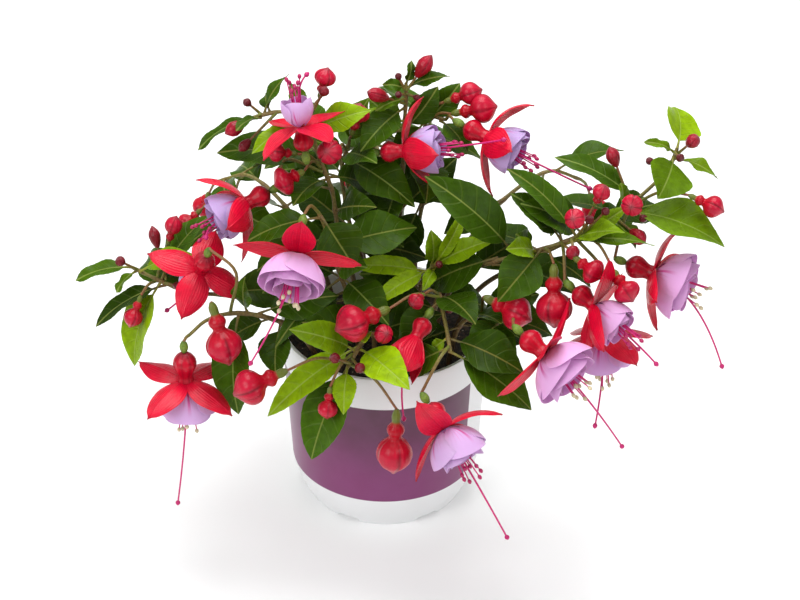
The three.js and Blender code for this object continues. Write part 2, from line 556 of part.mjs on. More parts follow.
// A stem and its nodes, the short stretches that have a face to each of four sides for an item to
// grow from. An item takes the free face that looks its way, at or below its place on the route.
class Stem {
  constructor(route, thick) {
    this.curve = curveThrough(route);
    this.length = this.curve.getLength();
    this.thick = thick;
    this.nodes = [];
    this.steps = 200;
    this.frames = this.curve.computeFrenetFrames(this.steps);
  }

  frameAt(at) {
    const k = Math.round((Math.min(Math.max(at / this.length, 0), 1)) * this.steps);
    return { along: this.frames.tangents[k], side: this.frames.normals[k], over: this.frames.binormals[k] };
  }

  pointAt(at) {
    return this.curve.getPointAt(Math.min(at / this.length, 1));
  }

  radiusAt(at) {
    return this.thick + (STEM_TIP_RADIUS - this.thick) * (at / this.length);
  }

  // The length along the stem of a share of its route.
  along(share) {
    return this.curve.getLengths(200)[Math.round(share * 200)];
  }

  freeSide(node, way) {
    const sides = [0, 1, 2, 3].filter((i) => !node.items[i])
      .map((side) => ({ node, side, fit: way.dot(acrossAt(this.frameAt(node.at), 90 * side + 45)) }));
    return sides.sort((a, b) => b.fit - a.fit)[0];
  }

  // Gives each item its node, its side and its foot.
  seat(items) {
    for (const item of items) item.at = this.along(item.share);
    const ahead = this.curve.getTangentAt(1);
    const tip = this.pointAt(this.length);
    const straight = (item) => item.to.clone().sub(tip).normalize().dot(ahead);
    const atEnd = (item) => item.at > this.length - NODE_REACH && !item.filler && straight(item) > 0.6;
    const last = items.filter(atEnd).sort((a, b) => straight(b) - straight(a))[0];
    if (last) {
      this.end = last;
      last.foot = tip;
    }
    for (const item of items.filter((one) => one !== last).sort((a, b) => b.at - a.at)) {
      const way = item.to.clone().sub(this.pointAt(item.at)).normalize();
      const shared = this.nodes.filter((node) => Math.abs(node.at - item.at) < NODE_REACH)
        .map((node) => this.freeSide(node, way)).filter((place) => place && place.fit > 0.45)
        .sort((a, b) => b.fit - a.fit)[0];
      let place = shared;
      if (!place) {
        const lowest = Math.min(this.length, ...this.nodes.map((node) => node.at)) - NODE_LENGTH - NODE_SPACE;
        const node = { at: Math.max(Math.min(item.at, lowest), NODE_LENGTH), items: {} };
        this.nodes.push(node);
        place = this.freeSide(node, way);
      }
      place.node.items[place.side] = item;
      const out = acrossAt(this.frameAt(place.node.at), 90 * place.side + 45);
      item.foot = this.pointAt(place.node.at).addScaledVector(out, this.radiusAt(place.node.at) * 0.7 + 0.5);
    }
  }

  // Everything that the stem carries.
  carried() {
    return [...this.nodes.flatMap((node) => Object.values(node.items)), ...(this.end ? [this.end] : [])];
  }

  ring(at) {
    return ringAt(this.pointAt(at), this.frameAt(at), this.radiusAt(at), 4);
  }

  // Adds the stem and its items to a skin, from an open face of it or from a foot of its own.
  grow(skin, root, bare = false) {
    let last = root;
    let lastAt = 0;
    const advance = (at, open) => {
      const next = skin.loop(this.ring(at));
      if (last === null) skin.face(...[...next].reverse());
      else if (last === root) skin.bridge(skin.turnedTo(next, last), next);
      else skin.bridge(last, next, open);
      last = next;
      lastAt = at;
    };
    const reachTo = (at) => {
      const from = lastAt;
      const steps = Math.max(1, Math.round((at - from) / STEM_STEP));
      for (let k = 1; k <= steps; k++) advance(from + ((at - from) * k) / steps);
    };
    if (root === null) {
      advance(0);
      advance(ROOTED);
    }
    for (const node of [...this.nodes].sort((a, b) => a.at - b.at)) {
      reachTo(node.at - NODE_LENGTH / 2);
      const below = last;
      advance(node.at + NODE_LENGTH / 2, bare ? [] : Object.keys(node.items).map(Number));
      if (bare) continue;
      for (const [key, item] of Object.entries(node.items)) {
        const i = Number(key);
        const j = (i + 1) % 4;
        item.grow(skin, [below[i], below[j], last[j], last[i]]);
      }
    }
    reachTo(this.length);
    if (this.end && !bare) this.end.grow(skin, last);
    else skin.face(...last);
  }

  // The closed solid of the bare stem.
  bare() {
    const skin = new Skin();
    this.grow(skin, null, true);
    return skin.solid();
  }
}

// Blooms.

// A place on a blade that starts at `start` from the axis, leaves it at `spread` degrees and curls on
// by `curl` degrees: [distance from the axis, distance along it, direction there in radians].
function curled([out, ahead], length, spread, curl, s) {
  const a = rad(spread);
  const k = rad(Math.abs(curl) < 1 ? 1 : curl);
  return [
    out + (length / k) * (Math.cos(a) - Math.cos(a + k * s)),
    ahead + (length / k) * (Math.sin(a + k * s) - Math.sin(a)),
    a + k * s,
  ];
}

// The loops of a sepal or a petal, three points wide, its outer face first.
function whorlLoops(centre, frame, turn, start, { length, width, spread, curl, outline, rows, cup }) {
  const out = acrossAt(frame, turn);
  const across = acrossAt(frame, turn + 90);
  return Array.from({ length: rows }, (_, row) => {
    const v = (row + 1) / rows;
    const [r, d, a] = curled(start, length, spread, curl, v);
    const quarter = (r - BLADE) / (1 + Math.abs(cup)); // the room that each of four has beside the next
    const half = Math.max(Math.min(outline(v) * width * 0.5, quarter), 0.5);
    const place = (u, dir) => {
      const lift = cup * u * u * half + (dir * BLADE) / 2;
      return centre.clone()
        .addScaledVector(out, r + Math.cos(a) * lift)
        .addScaledVector(frame.along, d - Math.sin(a) * lift)
        .addScaledVector(across, u * half);
    };
    return [...[-1, 0, 1].map((u) => place(u, 1)), ...[1, 0, -1].map((u) => place(u, -1))];
  });
}

const sepalOutline = (v) => 0.5 + 0.5 * Math.sin(Math.PI * v ** 0.8) - 0.42 * v ** 3;
const petalOutline = (v) => 0.16 + 0.84 * Math.sin(Math.PI * 0.62 * v) ** 1.2;

// Four blades from the eight sides between an outer and an inner ring, `first` the ring's point that
// the first blade starts from, and `loopsOf` what gives a blade's loops.
function growWhorl(skin, outer, inner, first, loopsOf) {
  for (let k = 0; k < 4; k++) {
    const at = [0, 1, 2].map((i) => (first + 2 * k + i) % 8);
    const root = [...at.map((i) => outer[i]), ...[...at].reverse().map((i) => inner[i])];
    skin.branch(root, loopsOf(k), { fixed: true });
  }
}

function calyxSolid(bloom, frame) {
  const top = V(bloom.top);
  const mouth = V(bloom.mouth);
  const size = Math.min(1, top.distanceTo(mouth) / 15);
  const turn = bloom.roll - 45;
  const skin = new Skin();
  const rings = turnedLoops(top, mouth, TUBE_PROFILE.map(([r, d]) => [r * size, d]), 8, turn)
    .map((points) => skin.loop(points));
  skin.face(...[...rings[0]].reverse());
  for (let i = 1; i < rings.length; i++) skin.bridge(rings[i - 1], rings[i]);
  const inner = skin.loop(ringAt(mouth, frame, MOUTH_RADIUS * size - BLADE, 8, turn));
  const sepal = { length: SEPAL_LENGTH * (bloom.size ?? 1), width: SEPAL_WIDTH, outline: sepalOutline,
    rows: bloom.single ? 2 : 3, cup: -0.2 };
  growWhorl(skin, rings[rings.length - 1], inner, 0, (k) => whorlLoops(mouth, frame, bloom.roll + 90 * k,
    [MOUTH_RADIUS * size - BLADE / 2, 0], { ...sepal, spread: bloom.spread[k], curl: bloom.curl[k] }));
  skin.face(...inner);
  return skin.solid();
}

// Petals in two layers from a small disc: four wide ones, and four narrower ones nearer to the axis.
function corollaSolid(bloom, frame) {
  const from = V(bloom.mouth).addScaledVector(frame.along, GAP);
  const size = (bloom.size ?? 1) * (0.72 + 0.28 * Math.min(1, bloom.open));
  const turn = bloom.roll;
  const skin = new Skin();
  const ringOf = (radius, ahead) => skin.loop(
    ringAt(from.clone().addScaledVector(frame.along, ahead), frame, radius, 8, turn));
  const back = ringOf(2.9, 0);
  skin.face(...[...back].reverse());
  const edge = ringOf(2.9, 0.7);
  skin.bridge(back, edge);
  const inside = ringOf(2.1, 0.7);
  const petal = { length: PETAL_LENGTH * size, width: PETAL_WIDTH * size, spread: 14 + 36 * bloom.open,
    curl: -12, outline: petalOutline, rows: 2, cup: -0.22 };
  growWhorl(skin, edge, inside, 0, (k) => whorlLoops(from, frame, turn + 45 + 90 * k, [2.5, 0.7], petal));
  if (bloom.single) {
    skin.face(...inside);
    return skin.solid();
  }
  const inset = ringOf(2, 1.3);
  skin.bridge(inside, inset);
  const core = ringOf(1.25, 1.3);
  const small = { ...petal, length: petal.length * 0.86, width: petal.width * 0.58,
    spread: 6 + 14 * bloom.open, curl: -4 };
  growWhorl(skin, inset, core, 1, (k) => whorlLoops(from, frame, turn + 90 + 90 * k, [1.6, 1.3], small));
  skin.face(...core);
  return skin.solid();
}

// Filaments with their anthers from the four sides of a small root, and the long style from its end.
function stamensSolid(bloom, frame) {
  const from = V(bloom.mouth).addScaledVector(frame.along, (bloom.single ? 0.7 : 1.3) + 2 * GAP);
  const skin = new Skin();
  const size = bloom.size ?? 1;
  const at = (ahead) => from.clone().addScaledVector(frame.along, ahead);
  const bend = V(bloom.style).sub(from);
  const turn = THREE.MathUtils.radToDeg(Math.atan2(bend.dot(frame.over), bend.dot(frame.side)));
  const back = skin.loop(ringAt(at(0), frame, 1, 4, turn));
  skin.face(...[...back].reverse());
  const root = skin.loop(ringAt(at(1.4), frame, 0.95, 4, turn));
  const lean = 2 + 9 * bloom.open;
  skin.bridge(back, root, bloom.single ? [0, 2] : [0, 1, 2, 3]);
  for (let i = 0; i < 4; i += bloom.single ? 2 : 1) {
    const j = (i + 1) % 4;
    const out = acrossAt(frame, turn + 45 + 90 * i);
    const way = frame.along.clone().multiplyScalar(Math.cos(rad(lean)))
      .addScaledVector(out, Math.sin(rad(lean)));
    const start = at(1.6).addScaledVector(out, 1.1);
    const reach = FILAMENT_LENGTH * size * (0.8 + 0.13 * (i % 3));
    const end = start.clone().addScaledVector(way, reach);
    skin.branch([back[i], back[j], root[j], root[i]],
      turnedLoops(start, end, [[0.5, 0.06], [0.5, 0.88], [1.2, 1]], 3, 90 * i));
  }
  const straight = at(26 * size);
  const style = new THREE.QuadraticBezierCurve3(at(0), straight, V(bloom.style));
  const loops = loopsAlong(style, 0.12, 0.96, 3, 0.55, 3);
  skin.branch(root, [...loops, ...turnedLoops(style.getPointAt(0.97), V(bloom.style), [[1.3, 0.5]], 3)]);
  return skin.solid();
}

// Pot and soil.

function potSolid() {
  const wall = POT_WALL;
  const outside = [
    [POT_BASE_RADIUS, 0], [POT_BASE_RADIUS + 5.6, 11], [POT_SHOULDER_RADIUS, POT_SHOULDER_HEIGHT],
    [POT_RIM_RADIUS, POT_HEIGHT],
  ];
  const inside = [
    [POT_RIM_RADIUS - wall - 0.6, POT_HEIGHT], [POT_SHOULDER_RADIUS - wall, POT_SHOULDER_HEIGHT],
    [POT_BASE_RADIUS + 5.6 - wall, 12], [POT_BASE_RADIUS - wall, POT_NOTCH_HEIGHT + wall],
  ];
  const body = turned([[0, POT_RECESS], [POT_BASE_RADIUS - 7, POT_RECESS], [POT_BASE_RADIUS - 7, 0],
    ...outside, ...inside, [0, POT_NOTCH_HEIGHT + wall]], POT_SIDES);
  const notches = [];
  for (let i = 0; i < POT_FEET; i++) {
    const box = new THREE.BoxGeometry(26, POT_NOTCH_WIDTH, 2 * POT_NOTCH_HEIGHT);
    box.translate(POT_BASE_RADIUS + 6.5, 0, 0);
    box.rotateZ(rad((360 / POT_FEET) * i + 2));
    notches.push(solidOf(box));
  }
  return body.subtract(fuse(notches));
}

// The pot's inner radius at a height, for what fills it.
function potInside(z) {
  const lower = [POT_BASE_RADIUS - POT_WALL, POT_NOTCH_HEIGHT + POT_WALL];
  const middle = [POT_BASE_RADIUS + 5.6 - POT_WALL, 12];
  const shoulder = [POT_SHOULDER_RADIUS - POT_WALL, POT_SHOULDER_HEIGHT];
  const rim = [POT_RIM_RADIUS - POT_WALL - 0.6, POT_HEIGHT];
  const [a, b] = z < middle[1] ? [lower, middle] : z < shoulder[1] ? [middle, shoulder] : [shoulder, rim];
  return a[0] + ((b[0] - a[0]) * (z - a[1])) / (b[1] - a[1]);
}

function soilSolid() {
  const bottom = SOIL_BOTTOM + GAP;
  const inset = GAP + 0.4;
  const body = turned([[0, bottom], [potInside(bottom) - inset, bottom], [potInside(12) - inset, 12],
    [potInside(POT_SHOULDER_HEIGHT) - inset, POT_SHOULDER_HEIGHT], [potInside(SOIL_EDGE) - inset, SOIL_EDGE],
    [0, SOIL_TOP]], SOIL_SIDES);
  const holes = Object.values(SHOOTS).map(([main]) => {
    const stem = new Stem(main.route, STEM_RADIUS);
    const [low, high] = [stem.pointAt(0), stem.pointAt(ROOTED)];
    const along = high.clone().sub(low).normalize();
    low.addScaledVector(along, -GAP);
    high.addScaledVector(along, 6);
    return solidOfLoops([ringAt(low, stem.frameAt(0), STEM_RADIUS + 2 * GAP, 4),
      ringAt(high, stem.frameAt(ROOTED), STEM_RADIUS + 4 * GAP, 4)], { fixed: true });
  });
  return body.subtract(fuse(holes));
}

// Places for the leaves.

function boxOf(solid) {
  const { min, max } = solid.boundingBox();
  return new THREE.Box3(V(min), V(max));
}

class Clearing {
  constructor() {
    this.items = [];
  }

  // Adds a solid, and what of it stands away from the stem that it grows from.
  add(node, solid, away = solid) {
    this.items.push({ node, solid, away, box: boxOf(solid) });
  }

  // The volume that a solid shares with its own node's solids, or with those of the other nodes.
  clash(node, solid, own) {
    const box = boxOf(solid);
    let shared = 0;
    for (const item of this.items) {
      if ((item.node === node) !== own || !item.box.intersectsBox(box)) continue;
      shared += (own ? item.away : item.solid).intersect(solid).volume();
    }
    return shared;
  }
}

// The turns and lifts, in degrees, that a leaf may take from its place to stand clear, nearest first.
const SWINGS = [];
for (const lift of [0, 7, -7, 14, -14, 22, -22, 32, -32]) {
  for (const turn of [0, 8, -8, 17, -17, 27, -27]) SWINGS.push([turn, lift]);
}
SWINGS.sort((a, b) => Math.hypot(...a) - Math.hypot(...b));

function swungTip(foot, tip, [turn, lift]) {
  const way = tip.clone().sub(foot);
  const side = new THREE.Vector3().crossVectors(way, UP).normalize();
  way.applyAxisAngle(side, rad(lift)).applyAxisAngle(UP, rad(turn));
  return foot.clone().add(way);
}

// Swings a leaf until it crosses nothing of the other nodes and hardly anything of its own. A filling
// leaf with no clear place is left out.
function placeLeaf(clearing, node, leaf) {
  const solidAt = (tip, more) => solidOfLoops(
    leafLoops(leaf.foot, tip, leaf.width, { filler: leaf.filler, ...more }), { blade: true });
  let best = null;
  for (const swing of SWINGS) {
    const tip = swungTip(leaf.foot, leaf.to, swing);
    const away = solidAt(tip, { from: LEAF_FREE });
    const shared = clearing.clash(node, solidAt(tip, { from: LEAF_FREE / 3, grow: GAP * 0.7 }), false)
      + Math.max(clearing.clash(node, away, true) - LEAF_SHARE, 0);
    if (best === null || shared < best.shared) best = { shared, tip, away };
    if (shared === 0) break;
  }
  if (leaf.filler && best.shared > 0) return;
  leaf.tip = best.tip;
  clearing.add(node, solidAt(leaf.tip, { from: LEAF_FREE / 3 }), best.away);
}

// Assembly.

// The pairs of leaves that a stem carries beyond the listed ones, each pair turned by a right angle.
function fillingLeaves(stem, pairs, random) {
  const leaves = [];
  pairs.forEach((share, k) => {
    const heading = 90 * k + 60 * random();
    for (const half of [0, 180]) {
      const turn = rad(heading + half);
      const rise = rad(-20 + 45 * random());
      const reach = 34 + 16 * random();
      const level = Math.cos(rise);
      const way = new THREE.Vector3(Math.cos(turn) * level, Math.sin(turn) * level, Math.sin(rise));
      const to = stem.curve.getPoint(share).addScaledVector(way, reach);
      leaves.push({ share, to, width: reach * 0.5, filler: true });
    }
  });
  return leaves;
}

// What a stem carries, each thing with the share of the route that it grows at and where it heads.
function listed(name, list, i, stems, random) {
  const { leaves, buds = [], pairs = [], thin = [] } = list[i];
  const ofBloom = Object.values(BLOOMS).filter(({ on }) => on[0] === name && on[1] === i);
  return [
    ...buds.map(([share, x, y, z, tx, ty, tz, radius]) => {
      const [start, end] = [V([x, y, z]), V([tx, ty, tz])];
      return { kind: 'bud', share, to: radius > BUD_SMALL_RADIUS ? start : end, start, end, radius };
    }),
    ...ofBloom.map((bloom) => ({ kind: 'bloom', share: bloom.on[2], to: V(bloom.via[0] ?? bloom.top), bloom })),
    ...(i > 0 ? [] : list.slice(1).map(({ from, route }, k) => (
      { kind: 'stem', share: from, to: V(route[1]), stem: stems[k + 1] }))),
    ...leaves.map(([share, x, y, z, width]) => ({ kind: 'leaf', share, to: V([x, y, z]), width })),
    ...fillingLeaves(stems[i], pairs, random).map((leaf, k) => (
      { kind: 'leaf', ...leaf, fallen: thin.includes(k) })),
  ];
}

// The stems of a shoot, with all that they carry seated and the buds and stalks shaped.
function seatedShoot(name, list, random, clearing) {
  const stems = list.map(({ route }, i) => new Stem(route, i === 0 ? STEM_RADIUS : STEM_TIP_RADIUS * 1.2));
  const carried = list.map((_, i) => listed(name, list, i, stems, random));
  const node = `shoot_${name}`;
  stems.forEach((stem, i) => {
    stem.seat(carried[i]);
    clearing.add(node, stem.bare());
    for (const item of carried[i]) {
      if (item.kind === 'bud') item.loops = budLoops(item.foot, item.start, item.end, item.radius);
      if (item.kind === 'bloom') item.loops = ovaryLoops(item.foot, item.bloom);
      if (item.loops) clearing.add(node, solidOfLoops(item.loops));
    }
  });
  return { node, stems, leaves: carried.flat().filter(({ kind }) => kind === 'leaf') };
}

// How an item grows on from the open face that it is given.
function growthOf(item) {
  if (item.kind === 'stem') return (skin, root) => item.stem.grow(skin, root);
  if (item.kind !== 'leaf') return (skin, root) => skin.branch(root, item.loops);
  const loops = leafLoops(item.foot, item.tip, item.width, { filler: item.filler });
  return (skin, root) => skin.branch(root, loops, { blade: true });
}

// A shoot in one skin, without the leaves that found no place.
function shootSolid({ stems }) {
  for (const stem of stems) {
    for (const node of stem.nodes) {
      for (const [side, item] of Object.entries(node.items)) {
        if (item.kind === 'leaf' && !item.tip) delete node.items[side];
      }
    }
    for (const item of stem.carried()) item.grow = growthOf(item);
  }
  const skin = new Skin();
  stems[0].grow(skin, null);
  return skin.solid();
}

function addBlooms(solids) {
  for (const [name, bloom] of Object.entries(BLOOMS)) {
    const frame = frameOf(V(bloom.mouth).sub(V(bloom.top)).normalize());
    solids.set(`bloom_${name}_calyx`, calyxSolid(bloom, frame));
    solids.set(`bloom_${name}_corolla`, corollaSolid(bloom, frame));
    solids.set(`bloom_${name}_stamens`, stamensSolid(bloom, frame));
  }
}

function build() {
  const clearing = new Clearing();
  const random = randomFrom(20251);
  const solids = new Map([['pot', potSolid()], ['soil', soilSolid()]]);
  addBlooms(solids);
  for (const [name, solid] of solids) clearing.add(name, solid);
  const shoots = Object.entries(SHOOTS).map(([name, list]) => seatedShoot(name, list, random, clearing));
  for (const filler of [false, true]) {
    for (const { node, leaves } of shoots) {
      const standing = leaves.filter((leaf) => Boolean(leaf.filler) === filler && !leaf.fallen);
      for (const leaf of standing) placeLeaf(clearing, node, leaf);
    }
  }
  for (const shoot of shoots) solids.set(shoot.node, shootSolid(shoot));

  const part = new THREE.Group();
  part.name = 'potted_fuchsia';
  for (const [name, solid] of solids) {
    const [color, roughness] = FINISHES[name.startsWith('bloom_') ? name.split('_').pop() : name.split('_')[0]];
    const material = new THREE.MeshStandardMaterial({ color, roughness, metalness: 0 });
    const mesh = new THREE.Mesh(geometryOf(solid), material);
    mesh.name = name;
    part.add(mesh);
  }
  return part;
}

export default build();
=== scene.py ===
"""A fuchsia in a plastic pot: the finished leaves, stems, buds, blooms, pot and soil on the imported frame.

Lengths are in millimetres until a mesh is made. Z is up and the viewer stands at -Y.
"""

from __future__ import annotations

import logging
import math
import sys
from dataclasses import dataclass, field
from enum import Enum
from functools import partial

import bpy
import numpy as np
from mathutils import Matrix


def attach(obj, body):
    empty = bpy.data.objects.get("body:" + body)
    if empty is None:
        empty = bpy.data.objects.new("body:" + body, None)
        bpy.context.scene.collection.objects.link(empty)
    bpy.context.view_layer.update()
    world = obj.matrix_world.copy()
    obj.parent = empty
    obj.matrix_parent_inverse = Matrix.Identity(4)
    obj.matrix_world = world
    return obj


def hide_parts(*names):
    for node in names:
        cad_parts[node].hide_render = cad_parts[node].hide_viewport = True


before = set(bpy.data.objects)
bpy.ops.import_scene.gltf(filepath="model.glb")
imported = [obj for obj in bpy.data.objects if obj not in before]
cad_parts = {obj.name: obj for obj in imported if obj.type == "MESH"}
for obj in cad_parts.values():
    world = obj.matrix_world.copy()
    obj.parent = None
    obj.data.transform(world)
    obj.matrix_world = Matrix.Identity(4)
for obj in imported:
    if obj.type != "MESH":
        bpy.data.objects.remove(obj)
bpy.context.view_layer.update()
log = logging.getLogger("fuchsia")

MM = 0.001  # metres in a millimetre
SEED = 20251
UP = np.array([0.0, 0.0, 1.0])

# Sizes that the looks share with the frame.
STEM_FOOT = 84  # height at which the stems start, inside the soil
STEM_RADIUS = 2.1
STEM_TIP_RADIUS = 1.1
NODE_LENGTH = 1.8  # stretch of a stem that things grow from
NODE_SPACE = 1.0
NODE_REACH = 4.0
NODE_FACES = 4
FACE_FIT = 0.45  # least cosine between a face and the way of what grows from it
TIP_FIT = 0.6  # least cosine between a stem's end and the way of what grows on from it
BUD_SMALL_RADIUS = 4.5  # a bud up to this radius has no ovary or neck to be seen
TUBE_LENGTH = 15.0
MOUTH_RADIUS = 4.7
OVARY_LENGTH = 7.0
SEPAL_LENGTH, SEPAL_WIDTH = 30.0, 17.0
PETAL_LENGTH, PETAL_WIDTH = 23.0, 28.0
FILAMENT_LENGTH = 27.0
BLADE = 0.78  # thickness of the thin forms in the frame
FULL_TURN = 2 * math.pi


class Growth(Enum):
    """What can grow from a stem."""

    LEAF = "leaf"
    BUD = "bud"
    BLOOM = "bloom"
    STEM = "stem"


@dataclass
class StemPlan:
    """A stem's route, and what it carries.

    leaves are [share, x, y, z of the tip, width, tone], buds are [share, x, y, z of the ovary's foot,
    x, y, z of the tip, radius], and pairs are the shares at which an opposite pair of leaves more stands.
    A tone runs from 0, old and dark, to 1, young and bright. start is the share of the main stem's route
    that a side stem grows at.
    """

    route: list
    leaves: list = field(default_factory=list)
    buds: list = field(default_factory=list)
    pairs: list = field(default_factory=list)
    start: float = 0.0


@dataclass
class BloomPlan:
    """An open flower: its stem [shoot, stem, share], the places its stalk passes, its tube, and its opening.

    top and mouth are the ends of the tube, roll turns the sepals about it, spread and curl are each
    sepal's angle from the axis and its curl to the tip in degrees, and style is the end of the style.
    """

    on: list
    via: list
    top: list
    mouth: list
    roll: float
    spread: list
    curl: list
    open: float
    style: list
    size: float = 1.0
    single: bool = False


